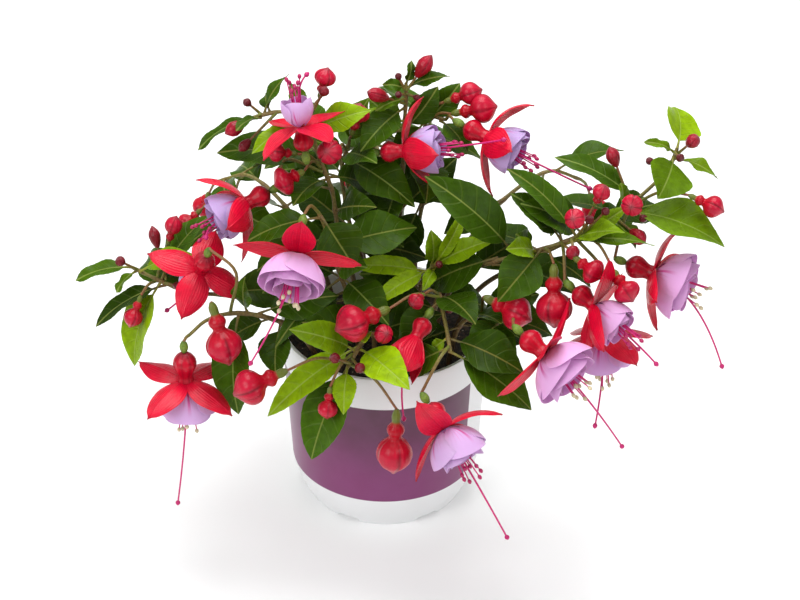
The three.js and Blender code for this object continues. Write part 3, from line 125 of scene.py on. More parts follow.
SHOOTS: dict[str, list[StemPlan]] = {
  "left_arm": [StemPlan(
    route=[[-27, -4, STEM_FOOT], [-52, -16, 128], [-86, -22, 145], [-108, -26, 150], [-125, -26, 158],
      [-140, -22, 164]],
    leaves=[[1, -171, -28, 159, 13, 0.55], [1, -148, -34, 155, 8, 0.6], [1, -104, -34, 177, 13, 0.78],
      [0.82, -95, -4, 188, 21, 0.4], [0.78, -159, -42, 134, 15, 0.08], [0.8, -143, -54, 119, 27, 0.92]],
    buds=[[0.8, -134, -38, 156, -141, -43, 138, 5.4], [1, -144, -27, 171, -147, -31, 175, 3],
      [0.82, -120, -19, 176, -114, -18, 195, 5], [0.8, -126, -11, 171, -129, -9, 183, 3.4],
      [0.72, -116, -29, 156, -111, -33, 158, 2.6]],
    pairs=[0.45, 0.7],
  )],
  "lower_left": [StemPlan(
    route=[[-30, -24, STEM_FOOT], [-48, -36, 130], [-67, -44, 146], [-84, -50, 152], [-97, -57, 152],
      [-106, -62, 146]],
    pairs=[0.42],
    leaves=[[0.55, -81, -75, 100, 25, 0.3], [0.5, -84, -38, 170, 13, 0.35],
      [0.35, -90, -38, 122, 19, 0.3],
      [0.3, -60, -60, 118, 20, 0.3]],
    buds=[[0.7, -93, -63, 168, -84, -72, 133, 10]],
  )],
  "main_left": [StemPlan(
    route=[[-12, -14, STEM_FOOT], [-20, -24, 144], [-27, -30, 174], [-31, -36, 196], [-35, -42, 212]],
    pairs=[0.26, 0.38, 0.6],
    leaves=[[0.95, -74, -38, 191, 18, 0.25], [0.9, -16, -52, 183, 26, 0.2],
      [0.45, -9, -44, 178, 16, 0.35],
      [0.3, -54, -50, 140, 20], [0.36, -60, -56, 133, 11], [0.7, -70, -32, 168, 22]],
  )],
  "left_upright": [StemPlan(
    route=[[-14, 2, STEM_FOOT], [-17, -4, 140], [-26, -8, 183], [-29, -6, 205], [-35, -4, 222],
      [-39, -2, 239], [-41, 0, 251]],
    leaves=[[0.66, -92, -4, 229, 25, 0.3], [1, -72, -22, 245, 13, 0.85], [0.97, -51, 6, 265, 9, 0.5],
      [1, -37, -20, 250, 11, 0.7], [1, -7, -2, 252, 16, 0.85], [0.5, -62, 4, 200, 20]],
    buds=[[0.64, -47, -14, 232, -63, -18, 236, 5.6], [0.66, -43, -22, 226, -59, -28, 220, 8],
      [1, -35, 2, 257, -30, 4, 275, 6], [1, -32, -4, 262, -31, -5, 268, 3.2]],
    pairs=[0.28, 0.4, 0.56, 0.72],
  ), StemPlan(
    start=0.97,
    route=[[-40, 0, 245], [-55, 2, 249], [-70, 4, 245]],
    leaves=[[1, -51, 8, 269, 8, 0.35], [1, -102, 0, 226, 10, 0.3], [1, -66, 10, 257, 7, 0.3],
      [1, -81, -9, 240, 10, 0.35]],
    buds=[[1, -75, -3, 241, -86, -8, 241, 4.2], [0.95, -74, -4, 236, -79, -6, 229, 3],
      [1, -74, 3, 251, -76, 3, 256, 2.4]],
  )],
  "left_second": [StemPlan(
    route=[[-3, 10, STEM_FOOT], [-10, 8, 140], [-18, 10, 165], [-22, 13, 185], [-24, 16, 204],
      [-20, 17, 220]],
    leaves=[[1, 1, -13, 222, 17, 0.5], [0.93, 17, -14, 198, 23, 0.28], [1, -42, 10, 228, 14, 0.4],
      [1, -8, 20, 248, 17, 0.5]],
    buds=[[1, -25, -8, 229, -31, -27, 241, 7], [1, -18, 6, 232, -13, 10, 250, 7]],
    pairs=[0.3, 0.45, 0.6, 0.75],
  )],
  "top_centre": [StemPlan(
    route=[[8, 12, STEM_FOOT], [8, 10, 162], [10, 16, 198], [11, 20, 228], [12, 22, 247], [12, 23, 255]],
    leaves=[[1, 35, 20, 264, 9, 0.3], [1, 20, 24, 267, 6, 0.3], [1, -1, 20, 256, 8, 0.4],
      [0.85, -5, 10, 245, 6, 0.5],
      [0.65, -19, 12, 233, 16, 0.7], [0.6, -7, 32, 243, 16, 0.6], [0.6, 36, 32, 241, 15],
      [0.4, -2, -28, 186, 14]],
    buds=[[0.8, 4, 13, 252, -9, 8, 258, 4.2], [1, 18, 22, 260, 26, 22, 273, 4.4],
      [1, 9, 21, 259, 7, 20, 263, 2], [0.85, 8, 15, 250, 7, 12, 254, 2],
      [0.85, 16, 18, 247, 20, 16, 249, 2]],
    pairs=[0.3, 0.45, 0.75],
  )],
  "top_right": [StemPlan(
    route=[[17, 7, STEM_FOOT], [18, 14, 158], [23, 22, 193], [22, 26, 221], [25, 26, 232], [34, 22, 233]],
    leaves=[[1, 43, 3, 222, 17, 0.4], [0.8, 40, 36, 250, 15, 0.4], [0.7, 2, 20, 212, 16, 0.45],
      [0.6, 56, 20, 212, 18, 0.4]],
    buds=[[0.8, 33, 24, 243, 54, 22, 252, 6.6], [0.8, 37, 16, 240, 62, 12, 247, 8.2]],
    pairs=[0.32, 0.5, 0.66, 0.8],
  )],
  "right_arm": [StemPlan(
    route=[[26, -8, STEM_FOOT], [32, -14, 130], [44, -23, 160], [60, -32, 174], [76, -40, 184],
      [91, -44, 192], [111, -46, 202]],
    pairs=[0.34, 0.52],
    leaves=[[0.62, 22, -26, 225, 26, 0.22], [0.8, 61, -67, 171, 24, 0.3], [0.74, 65, -60, 200, 13, 0.72],
      [0.85, 68, -36, 220, 19, 0.25], [0.95, 66, -30, 232, 17, 0.35], [1, 130, -62, 203, 16, 0.8],
      [1, 145, -60, 196, 9, 0.6],
      [0.7, 73, -46, 202, 14, 0.5], [1, 131, -44, 217, 8, 0.7], [0.6, 60, -58, 150, 18, 0.3]],
    buds=[[1, 104, -55, 216, 99, -68, 224, 5.6], [1, 112, -46, 218, 117, -49, 233, 5],
      [1, 118, -50, 217, 119, -53, 221, 2.4], [1, 110, -53, 214, 110, -57, 218, 2.6],
      [0.97, 106, -59, 204, 102, -64, 199, 4], [0.9, 101, -63, 197, 116, -73, 190, 7],
      [0.8, 91, -59, 190, 92, -70, 156, 10], [1, 122, -68, 192, 132, -82, 181, 7.5]],
  )],
  "right_node": [StemPlan(
    route=[[34, 0, STEM_FOOT], [52, -10, 140], [84, -24, 172], [111, -32, 194], [128, -32, 206],
      [138, -30, 214]],
    leaves=[[1, 92, -18, 232, 17, 0.36], [1, 181, -54, 191, 31, 0.6], [1, 127, -33, 225, 12, 0.6],
      [0.97, 138, -48, 196, 14, 0.6],
      [0.7, 150, -8, 196, 20], [0.5, 88, -2, 190, 22]],
    buds=[[0.97, 131, -22, 235, 121, -22, 241, 3.9], [1, 134, -41, 218, 131, -53, 222, 6],
      [1, 163, -39, 221, 182, -45, 214, 6.2], [1, 140, -42, 212, 140, -46, 209, 2.4],
      [0.97, 131, -48, 205, 140, -52, 199, 4.4]],
    pairs=[0.3, 0.42, 0.58, 0.72],
  ), StemPlan(
    start=0.96,
    route=[[137, -30, 213], [150, -24, 224], [156, -20, 232], [158, -18, 238]],
    leaves=[[0.8, 146, -43, 221, 26, 0.58], [1, 159, 9, 248, 26, 0.85], [1, 139, -24, 245, 7, 0.6],
      [1, 180, -28, 224, 9, 0.7]],
    buds=[[0.7, 143, -30, 234, 140, -32, 238, 2.2], [1, 161, -26, 243, 167, -29, 251, 3.9],
      [1, 159, -26, 237, 159, -30, 238, 2.4]],
  )],
  "front_stem": [StemPlan(
    route=[[19, -25, STEM_FOOT], [27, -31, 135], [30, -36, 155], [31, -46, 157], [34, -62, 150],
      [36, -74, 143]],
    pairs=[0.3, 0.42],
    leaves=[[1, 80, -89, 115, 28, 0.42], [0.85, 76, -76, 129, 25, 0.2], [0.88, 27, -64, 138, 7, 0.7],
      [1, 10, -66, 120, 18, 0.4]],
    buds=[[0.5, 3, -63, 164, -26, -78, 160, 10.5],
      [0.5, 22, -50, 165, 15, -60, 164, 4.8], [0.55, 36, -50, 159, 37, -53, 155, 2.4]],
  )],
  "front_cluster": [StemPlan(
    route=[[-6, -26, STEM_FOOT], [-6, -38, 128], [-9, -52, 139], [-15, -66, 138], [-20, -75, 133]],
    pairs=[0.3],
    leaves=[[1, -53, -84, 159, 18, 0.72], [1, 22, -90, 126, 21, 0.9], [1, -63, -92, 113, 18, 0.88],
      [1, -11, -80, 153, 10, 0.85],
      [1, -25, -98, 119, 13, 0.95], [1, -40, -90, 82, 26, 0.45]],
    buds=[[0.55, -5, -64, 147, 2, -75, 156, 5.4], [1, -24, -83, 143, -28, -87, 149, 3],
      [1, -15, -85, 138, -12, -89, 142, 3],
      [1, -29, -88, 130, -31, -93, 112, 5.6], [1, 7, -95, 120, 5, -101, 81, 10],
      [1, -52, -84, 138, -81, -93, 128, 10]],
  )],
  "mid_tuft": [StemPlan(
    route=[[10, -12, STEM_FOOT], [18, -14, 134], [22, -18, 154], [28, -25, 168]],
    pairs=[0.3, 0.45, 0.7],
    leaves=[[1, 45, -24, 205, 8, 0.8], [1, 60, -34, 196, 12, 0.82], [1, 25, -28, 190, 12, 0.7],
      [0.9, -8, -49, 156, 11, 0.95],
      [1, -19, -32, 177, 12, 0.8], [1, 21, -41, 161, 7, 0.8], [0.6, -8, -34, 148, 18],
      [0.5, 52, -6, 158, 20]],
    buds=[[1, 32, -31, 171, 31, -34, 174, 2.2]],
  )],
  "right_low": [StemPlan(
    route=[[34, -20, STEM_FOOT], [42, -30, 130], [50, -38, 142], [61, -50, 149], [70, -60, 151]],
    pairs=[0.25, 0.35],
    leaves=[[0.85, 46, -66, 139, 17], [0.6, 96, -46, 140, 22], [0.4, 74, -56, 118, 20],
      [0.5, 88, -26, 150, 20]],
    buds=[[0.6, 54, -56, 167, 80, -63, 156, 9.6]],
  )],
  "back_left": [StemPlan(
    route=[[-22, 14, STEM_FOOT], [-40, 30, 140], [-62, 46, 168], [-80, 58, 176], [-96, 66, 168]],
    pairs=[0.45, 0.62, 0.8, 0.97],
    buds=[[0.8, -88, 66, 160, -92, 74, 140, 8], [1, -104, 72, 156, -110, 78, 138, 7]],
  ), StemPlan(
    start=0.3,
    route=[[-42, 31, 143], [-72, 26, 168], [-96, 22, 180]],
    pairs=[0.6, 0.95],
    buds=[[1, -104, 20, 176, -116, 18, 164, 6]],
  )],
  "back_mid": [StemPlan(
    route=[[0, 28, STEM_FOOT], [2, 46, 145], [-2, 66, 178], [-6, 84, 182], [-10, 96, 172]],
    pairs=[0.45, 0.62, 0.8, 0.97],
    buds=[[1, -16, 100, 160, -20, 104, 138, 9], [0.8, 8, 88, 168, 14, 94, 150, 7]],
  ), StemPlan(
    start=0.3,
    route=[[1, 44, 142], [20, 50, 186], [26, 56, 212]],
    pairs=[0.6, 0.95],
    buds=[[1, 26, 62, 218, 28, 70, 226, 4]],
  )],
  "back_right": [StemPlan(
    route=[[22, 20, STEM_FOOT], [48, 34, 145], [74, 46, 172], [96, 56, 180], [114, 60, 172]],
    pairs=[0.45, 0.62, 0.8, 0.97],
    buds=[[1, 120, 64, 160, 126, 70, 140, 8], [0.7, 92, 62, 162, 94, 70, 146, 6]],
  )],
  "crown_back": [StemPlan(
    route=[[-9, 20, STEM_FOOT], [-14, 26, 155], [-24, 34, 195], [-32, 40, 218]],
    pairs=[0.45, 0.62, 0.8, 0.97],
    buds=[[1, -40, 44, 222, -50, 48, 222, 4.4]],
  )],
}

BLOOMS: dict[str, BloomPlan] = {
  "main": BloomPlan(on=["main_left", 0, 1], via=[[-39, -52, 222]], top=[-43, -65, 217],
    mouth=[-45, -78, 209],
    roll=80, spread=[98, 100, 80, 100], curl=[-8, -25, 30, -25], open=1.1,
    style=[-71, -97, 151]),
  "upper_left": BloomPlan(on=["left_upright", 0, 0.64], via=[[-54, -10, 226]],
    top=[-63, -14, 208], mouth=[-75, -20, 204],
    roll=110, spread=[75, 70, 75, 70], curl=[-55, -30, -40, -50], open=0.8,
    style=[-96, -40, 194]),
  "top_left": BloomPlan(on=["left_upright", 0, 1], via=[], top=[-42, -30, 243], mouth=[-44, -26, 255],
    roll=10, spread=[105, 95, 85, 85], curl=[25, 20, 0, 0], open=0.5, size=0.85, single=True,
    style=[-40, -12, 280]),
  "top_centre": BloomPlan(on=["top_centre", 0, 0.6], via=[], top=[-2, -2, 226], mouth=[11, -4, 228],
    roll=70, spread=[92, 58, 62, 70], curl=[-60, -40, -40, -40], open=0.8,
    style=[65, -23, 246]),
  "top_right": BloomPlan(on=["top_right", 0, 1], via=[], top=[44, 6, 238], mouth=[56, 0, 234],
    roll=55, spread=[95, 60, 72, 70], curl=[-75, -30, -42, -40], open=0.8,
    style=[113, -18, 212]),
  "left_back": BloomPlan(on=["lower_left", 0, 0.6], via=[[-80, -56, 184]], top=[-96, -45, 186],
    mouth=[-100, -40, 174],
    roll=140, spread=[90, 85, 85, 90], curl=[-10, -25, -35, -20], open=0.5, size=0.9, single=True,
    style=[-122, -30, 140]),
  "lower_left": BloomPlan(on=["lower_left", 0, 1], via=[], top=[-109, -66, 137], mouth=[-109, -67, 119],
    roll=-145, spread=[85, 95, 90, 78], curl=[-20, -10, -20, -20], open=1,
    style=[-118, -68, 33]),
  "centre": BloomPlan(on=["front_stem", 0, 0.62], via=[], top=[23, -57, 153], mouth=[17, -66, 146],
    roll=45, spread=[36, 36, 36, 36], curl=[-38, -38, -38, -38], open=0.1, size=0.8, single=True,
    style=[11, -89, 108]),
  "front": BloomPlan(on=["front_stem", 0, 1], via=[[30, -84, 146]], top=[24, -94, 123],
    mouth=[32, -102, 113],
    roll=45, spread=[95, 110, 75, 70], curl=[-55, 40, -40, -45], open=1,
    style=[68, -113, 45]),
  "right_upper": BloomPlan(on=["right_arm", 0, 0.9], via=[], top=[102, -67, 179], mouth=[112, -75, 174],
    roll=180, spread=[52, 80, 95, 95], curl=[-30, -20, 8, 8], open=0.7,
    style=[146, -92, 147]),
  "right_lower": BloomPlan(on=["right_arm", 0, 0.95], via=[[118, -52, 182]], top=[119, -52, 160],
    mouth=[120, -56, 144],
    roll=75, spread=[80, 80, 80, 80], curl=[-20, -20, -20, -20], open=0.95, single=True,
    style=[116, -78, 95]),
  "right_edge": BloomPlan(on=["right_node", 0, 1], via=[], top=[132, -41, 179], mouth=[146, -47, 176],
    roll=80, spread=[100, 90, 85, 85], curl=[-50, -45, -40, -60], open=1.1,
    style=[186, -62, 124]),
  "lower_right": BloomPlan(on=["right_low", 0, 1], via=[], top=[74, -86, 163], mouth=[85, -95, 157],
    roll=-150, spread=[90, 80, 107, 75], curl=[5, -20, 10, 10], open=1.2,
    style=[130, -96, 95]),
}


def linear(hex_code: str) -> np.ndarray:
    """Linear RGB of an sRGB hex colour."""
    s = np.array([int(hex_code[i : i + 2], 16) for i in (1, 3, 5)]) / 255
    return np.where(s <= 0.04045, s / 12.92, ((s + 0.055) / 1.055) ** 2.4)


def unit(v: np.ndarray) -> np.ndarray:
    """Vectors at length one."""
    return v / np.maximum(np.linalg.norm(v, axis=-1, keepdims=True), 1e-12)


def smooth(low: float, high: float, x: np.ndarray) -> np.ndarray:
    """0 below low, 1 above high, and the cubic 3t^2 - 2t^3 between."""
    t = np.clip((np.asarray(x, float) - low) / (high - low), 0, 1)
    return t * t * (3 - 2 * t)


def mixed(first: np.ndarray, second: np.ndarray, share: float | np.ndarray) -> np.ndarray:
    """A value between two: first + (second - first) share."""
    return first + (second - first) * share


def turns(count: int) -> np.ndarray:
    """Even turns round a ring, in radians."""
    return np.arange(count) * FULL_TURN / count


def turned(v: np.ndarray, axis: np.ndarray, angle: float) -> np.ndarray:
    """v turned about a unit axis by an angle in radians: v cos + (axis x v) sin + axis (axis.v)(1 - cos)."""
    cos, sin = math.cos(angle), math.sin(angle)
    return v * cos + np.cross(axis, v) * sin + axis * (v @ axis) * (1 - cos)


@dataclass
class Frame:
    """An axis with two directions across it."""

    along: np.ndarray
    side: np.ndarray
    over: np.ndarray

    @classmethod
    def of(cls, along: np.ndarray) -> Frame:
        """The frame of an axis, with its first cross direction as level as it can be."""
        along = unit(along)
        side = unit(np.cross(np.array([1.0, 0, 0]) if abs(along[2]) > 0.99 else UP, along))
        return cls(along, side, np.cross(along, side))

    def across(self, turn: float | np.ndarray) -> np.ndarray:
        """The direction side cos(turn) + over sin(turn), for a turn or an array of turns in radians."""
        turn = np.asarray(turn, float)[..., None]
        return self.side * np.cos(turn) + self.over * np.sin(turn)


@dataclass
class Route:
    """A smooth line through places: a centripetal Catmull-Rom spline with its ends drawn on straight."""

    STEPS = 200

    places: list

    def __post_init__(self) -> None:
        """Measures the line in even steps of its parameter."""
        p = np.asarray(self.places, float)
        self.count = len(p) - 1
        self.held = np.vstack([2 * p[0] - p[1], p, 2 * p[-1] - p[-2]])
        self.table = np.linspace(0, 1, self.STEPS + 1)
        steps = np.linalg.norm(np.diff(self.at(self.table), axis=0), axis=1)
        self.lengths = np.concatenate([[0.0], np.cumsum(steps)])
        self.length = float(self.lengths[-1])

    def at(self, t: np.ndarray | float) -> np.ndarray:
        """Places at parameters t.

        Each stretch is the cubic between its two places whose end slopes come from the distances'
        square roots d: s1 = ((p1-p0)/d0 - (p2-p0)/(d0+d1) + (p2-p1)/d1) d1, and s2 likewise.

        Args:
            t: Parameters from 0 to 1.

        Returns:
            One row of x, y, z for each.
        """
        t = np.atleast_1d(np.asarray(t, float))
        k = np.clip(np.floor(t * self.count).astype(int), 0, self.count - 1)
        w = (t * self.count - k)[:, None]
        p0, p1, p2, p3 = (self.held[k + i] for i in range(4))
        d0, d1, d2 = (
            np.linalg.norm(b - a, axis=1, keepdims=True) ** 0.5 for a, b in ((p0, p1), (p1, p2), (p2, p3))
        )
        s1 = ((p1 - p0) / d0 - (p2 - p0) / (d0 + d1) + (p2 - p1) / d1) * d1
        s2 = ((p2 - p1) / d1 - (p3 - p1) / (d1 + d2) + (p3 - p2) / d2) * d1
        return p1 + s1 * w + (3 * (p2 - p1) - 2 * s1 - s2) * w**2 + (2 * (p1 - p2) + s1 + s2) * w**3

    def spread(self, shares: np.ndarray | float) -> np.ndarray:
        """Places at shares of the length."""
        return self.at(self.parameter(shares))

    def parameter(self, shares: np.ndarray | float) -> np.ndarray:
        """The parameters at shares of the length, by the table of chord lengths."""
        return np.interp(np.atleast_1d(shares) * self.length, self.lengths, self.table)

    def slopes(self, shares: np.ndarray | float) -> np.ndarray:
        """Unit tangents at shares of the length, from two places a ten-thousandth to each side."""
        t = self.parameter(shares)
        return unit(self.at(np.minimum(t + 1e-4, 1)) - self.at(np.maximum(t - 1e-4, 0)))


# Meshes.


@dataclass
class Shell:
    """A closed surface: its corners, its faces laid end to end, and what its finish reads at each corner."""

    points: np.ndarray
    loops: np.ndarray
    sizes: np.ndarray
    uv: np.ndarray
    tint: np.ndarray
    marks: dict


def cells(rows: int, cols: int, wrap: bool) -> np.ndarray:
    """The four corners of each cell of a grid of rows by cols points.

    Args:
        rows: Points along the grid.
        cols: Points across it.
        wrap: Whether the last column meets the first.

    Returns:
        One row of four point numbers for each cell.
    """
    low = np.arange(rows - 1)[:, None] * cols
    j = np.arange(cols if wrap else cols - 1)
    k = (j + 1) % cols
    return np.stack([low + j, low + k, low + cols + k, low + cols + j], axis=-1).reshape(-1, 4)


def marked(marks: dict, shape: tuple, copies: int = 1) -> dict:
    """Marks as one flat array each, spread over a grid's shape and repeated for each of its sides."""
    return {k: np.tile(np.broadcast_to(v, shape).reshape(-1), copies) for k, v in marks.items()}


def tinted(tint: np.ndarray, shape: tuple, copies: int = 1) -> np.ndarray:
    """Colours as one row for each corner of a grid, repeated for each of its sides."""
    return np.tile(np.broadcast_to(tint, (*shape, 3)).reshape(-1, 3), (copies, 1))


def tube_shell(grid: np.ndarray, tint: np.ndarray, marks: dict | None = None) -> Shell:
    """A closed tube from rings of points, with a face over each end.

    Args:
        grid: Rings in rows, counterclockwise as seen from the last ring.
        tint: A colour, or one for each point.
        marks: Other values for each point.

    Returns:
        The shell, with u round the tube and v along it.
    """
    rows, cols = grid.shape[:2]
    quads = cells(rows, cols, True)
    ends = np.arange(rows * cols).reshape(rows, cols)
    loops = np.concatenate([quads.reshape(-1), ends[0][::-1], ends[-1]])
    sizes = np.concatenate([np.full(len(quads), 4), [cols, cols]])
    u, v = np.meshgrid(np.arange(cols) / cols, np.linspace(0, 1, rows))
    return Shell(
        grid.reshape(-1, 3), loops, sizes, np.stack([u, v], -1).reshape(-1, 2),
        tinted(tint, (rows, cols)), marked(marks or {}, (rows, cols)),
    )


def blade_shell(grid: np.ndarray, half: np.ndarray, tint: np.ndarray, marks: dict | None = None) -> Shell:
    """A thin blade about a grid of points: the grid moved by half its thickness to each side along its normal,
    which is the cross product of its steps across and along, and a rim between the two sides.

    Args:
        grid: Points in rows along the blade and columns across it.
        half: Half the thickness, one number or one for each point.
        tint: A colour, or one for each point.
        marks: Other values for each point.

    Returns:
        The shell, with u across and v along, and the mark under set to 1 on the side that the normal leaves.
    """
    rows, cols = grid.shape[:2]
    normal = unit(np.cross(np.gradient(grid, axis=1), np.gradient(grid, axis=0)))
    half = np.broadcast_to(half, (rows, cols))[..., None]
    top = cells(rows, cols, False)
    n = rows * cols
    number = np.arange(n).reshape(rows, cols)
    rim = np.concatenate([number[0, :-1], number[:-1, -1], number[-1, :0:-1], number[:0:-1, 0]])
    ahead = np.roll(rim, -1)
    wall = np.stack([ahead, rim, rim + n, ahead + n], axis=-1)
    quads = np.concatenate([top, top[:, ::-1] + n, wall])
    u, v = np.meshgrid(np.linspace(0, 1, cols), np.linspace(0, 1, rows))
    side = {"under": np.repeat([0.0, 1.0], n)}
    return Shell(
        np.concatenate([(grid + normal * half).reshape(-1, 3), (grid - normal * half).reshape(-1, 3)]),
        quads.reshape(-1), np.full(len(quads), 4), np.tile(np.stack([u, v], -1).reshape(-1, 2), (2, 1)),
        tinted(tint, (rows, cols), 2), {**marked(marks or {}, (rows, cols), 2), **side},
    )


def make_piece(name: str, shells: list, material: bpy.types.Material, sharp: float = 50.0) -> bpy.types.Object:
    """One object from shells, smooth except over edges sharper than an angle.

    Args:
        name: The piece's name.
        shells: Its shells, in millimetres.
        material: Its finish.
        sharp: The angle in degrees.

    Returns:
        The object, at the origin.
    """
    firsts = np.cumsum([0] + [len(s.points) for s in shells])
    loops = np.concatenate([s.loops + first for s, first in zip(shells, firsts)]).astype(np.int32)
    sizes = np.concatenate([s.sizes for s in shells])
    mesh = bpy.data.meshes.new(name)
    mesh.vertices.add(int(firsts[-1]))
    points = np.concatenate([s.points for s in shells]) * MM
    mesh.vertices.foreach_set("co", points.astype(np.float32).ravel())
    mesh.loops.add(len(loops))
    mesh.loops.foreach_set("vertex_index", loops)
    mesh.polygons.add(len(sizes))
    mesh.polygons.foreach_set("loop_start", np.concatenate([[0], np.cumsum(sizes)[:-1]]).astype(np.int32))
    uv = np.concatenate([s.uv for s in shells])[loops]
    mesh.uv_layers.new(name="surface").data.foreach_set("uv", uv.astype(np.float32).ravel())
    tint = np.concatenate([s.tint for s in shells])
    colour = np.concatenate([tint, np.ones((len(tint), 1))], axis=1).astype(np.float32)
    mesh.attributes.new("tint", "FLOAT_COLOR", "POINT").data.foreach_set("color", colour.ravel())
    for mark in shells[0].marks:
        values = np.concatenate([s.marks[mark] for s in shells]).astype(np.float32)
        mesh.attributes.new(mark, "FLOAT", "POINT").data.foreach_set("value", values)
    mesh.update(calc_edges=True)
    mesh.polygons.foreach_set("use_smooth", np.ones(len(sizes), bool))
    mesh.set_sharp_from_angle(angle=math.radians(sharp))
    mesh.materials.append(material)
    made = bpy.data.objects.new(name, mesh)
    bpy.context.scene.collection.objects.link(made)
    return made


def settle(piece: bpy.types.Object, slot: str, *nodes: str) -> None:
    """Puts a piece on the frame in place of its CAD nodes, and reports it.

    Args:
        piece: The piece.
        slot: The material slot that it belongs to; not used.
        *nodes: The nodes that it stands for.
    """
    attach(piece, "root")
    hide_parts(*nodes)
    log.info("%s: %d faces, stands for %s", piece.name, len(piece.data.polygons), ", ".join(nodes))


def path_tube(path: np.ndarray, radii: np.ndarray | float, tint: np.ndarray, sides: int = 8,
              marks: dict | None = None) -> Shell:
    """A round tube along places: ring i is path[i] + r[i] (side cos a + over sin a), where side is the cross
    product of the direction that the path turns least towards and its tangent.

    Args:
        path: Places, one row each.
        radii: One radius or one for each place.
        tint: A colour or one for each place.
        sides: Points in a ring.
        marks: Other values, one number or one for each place.

    Returns:
        The shell.
    """
    slope = unit(np.gradient(path, axis=0))
    level = np.linalg.svd(slope, full_matrices=True)[2][-1]
    side = unit(np.cross(level, slope))
    over = np.cross(slope, side)
    a = turns(sides)
    r = np.broadcast_to(radii, len(path))[:, None, None]
    ring = side[:, None] * np.cos(a)[:, None] + over[:, None] * np.sin(a)[:, None]
    tint = np.broadcast_to(tint, (len(path), 3))[:, None]
    spread = {k: np.broadcast_to(v, len(path))[:, None] for k, v in (marks or {}).items()}
    return tube_shell(path[:, None] + r * ring, tint, spread)


# Finishes.

EASED = {"interpolation_type": "SMOOTHSTEP"}


def rgba(hex_code: str) -> tuple:
    """An sRGB hex colour as a node's input takes it."""
    return (*linear(hex_code), 1.0)


def feed(tree: bpy.types.NodeTree, node: bpy.types.Node, inputs: dict) -> None:
    """Gives a node's inputs their values and links.

    Args:
        tree: The material's nodes.
        node: The node.
        inputs: A value or another node's output for each input, by name or number.
    """
    for key, value in inputs.items():
        if isinstance(value, bpy.types.NodeSocket):
            tree.links.new(value, node.inputs[key])
        else:
            node.inputs[key].default_value = value


def add_node(tree: bpy.types.NodeTree, kind: str, inputs: dict | tuple = (), out: int | str = 0,
             **settings: object) -> bpy.types.NodeSocket:
    """Adds a node to a material.

    Args:
        tree: The material's nodes.
        kind: The node's type, without ShaderNode.
        inputs: A value or another node's output for each input, in their order, or by name or number.
        out: The output that is wanted, by name or number.
        **settings: The node's own settings.

    Returns:
        That output.
    """
    made = tree.nodes.new("ShaderNode" + kind)
    for key, value in settings.items():
        setattr(made, key, value)
    feed(tree, made, inputs if isinstance(inputs, dict) else dict(enumerate(inputs)))
    return made.outputs[out]


def begin(name: str) -> tuple[bpy.types.Material, partial, partial]:
    """Starts a material.

    Args:
        name: Its name.

    Returns:
        The material, a call that adds a node to it, and a call that gives its shader's inputs.
    """
    material = bpy.data.materials.new(name)
    material.use_nodes = True
    tree = material.node_tree
    return material, partial(add_node, tree), partial(feed, tree, tree.nodes["Principled BSDF"])


@dataclass(frozen=True)
class LeafSkin:
    """Fuchsia leaf: a thin waxy skin over soft tissue, so a broad dull sheen, with sunken pale veins."""

    vein: str = "#9FB35A"
    tan: str = "#9A6A3C"
    below: str = "#7A8C5A"
    roughness: float = 0.32
    gloss: float = 0.08
    patch_mm: float = 3.846  # lighter and darker patches
    sheen_mm: float = 2.0  # glossier and duller patches
    pit_mm: float = 0.7143  # the skin's cells, drawn coarser than they are so that they show
    depth_mm: float = 0.4
    vein_mm: float = 0.22  # half the width of the pale rib
    fade_mm: float = 9.0  # side veins are faint from this far off the rib

    def material(self) -> bpy.types.Material:
        """Colour by age, pale veins and a paler lower side, and hollows along the veins.

        Returns:
            The material.
        """
        material, node, dress = begin("leaf_skin")
        place = node("TexCoord", out="Object")
        tint = node("Attribute", out="Color", attribute_name="tint")
        run, from_rib, ruddy, under = (
            node("Attribute", out="Fac", attribute_name=mark) for mark in ("vein", "rib", "ruddy", "under")
        )
        patches, sheen, pits = (
            node("TexNoise", {"Vector": place, "Scale": 1 / (size * MM), "Detail": 3.0})
            for size in (self.patch_mm, self.sheen_mm, self.pit_mm)
        )
        mottle = node("MapRange", (patches, 0.3, 0.7, 0.86, 1.12), **EASED)
        off = node("Math", (node("Math", (run,), operation="FRACT"), 0.5), operation="SUBTRACT")
        side = node("MapRange", (node("Math", (off,), operation="ABSOLUTE"), 0.1, 0.0, 0.0, 1.0), **EASED)
        rib = node("MapRange", (from_rib, 3 * self.vein_mm, self.vein_mm, 0.0, 1.0), **EASED)
        fade = node("MapRange", (from_rib, self.fade_mm, 1.0, 0.35, 1.0), **EASED)
        veins = node("Math", (rib, node("Math", (side, fade), operation="MULTIPLY")), operation="MAXIMUM")
        line = node("Mix", {0: ruddy, 6: rgba(self.vein), 7: rgba(self.tan)}, 2, data_type="RGBA")
        colour = node("VectorMath", {0: tint, 3: mottle}, operation="SCALE")
        for where, most, over in (
            (side, 0.06, rgba(self.vein)), (rib, 0.4, line), (under, 0.62, rgba(self.below)),
        ):
            share = node("Math", (where, most), operation="MULTIPLY")
            colour = node("Mix", {0: share, 6: colour, 7: over}, 2, data_type="RGBA")
        relief = node("Math", (node("Math", (pits, 0.25), operation="MULTIPLY"), veins), operation="SUBTRACT")
        dull = node("MapRange", (sheen, 0.3, 0.7, self.roughness - 0.06, self.roughness + 0.1), **EASED)
        dress({
            "Base Color": colour,
            "Normal": node("Bump", {"Height": relief, "Distance": self.depth_mm * MM, "Strength": 0.6}),
            "Specular IOR Level": self.gloss,
            "Roughness": dull,
        })
        return material


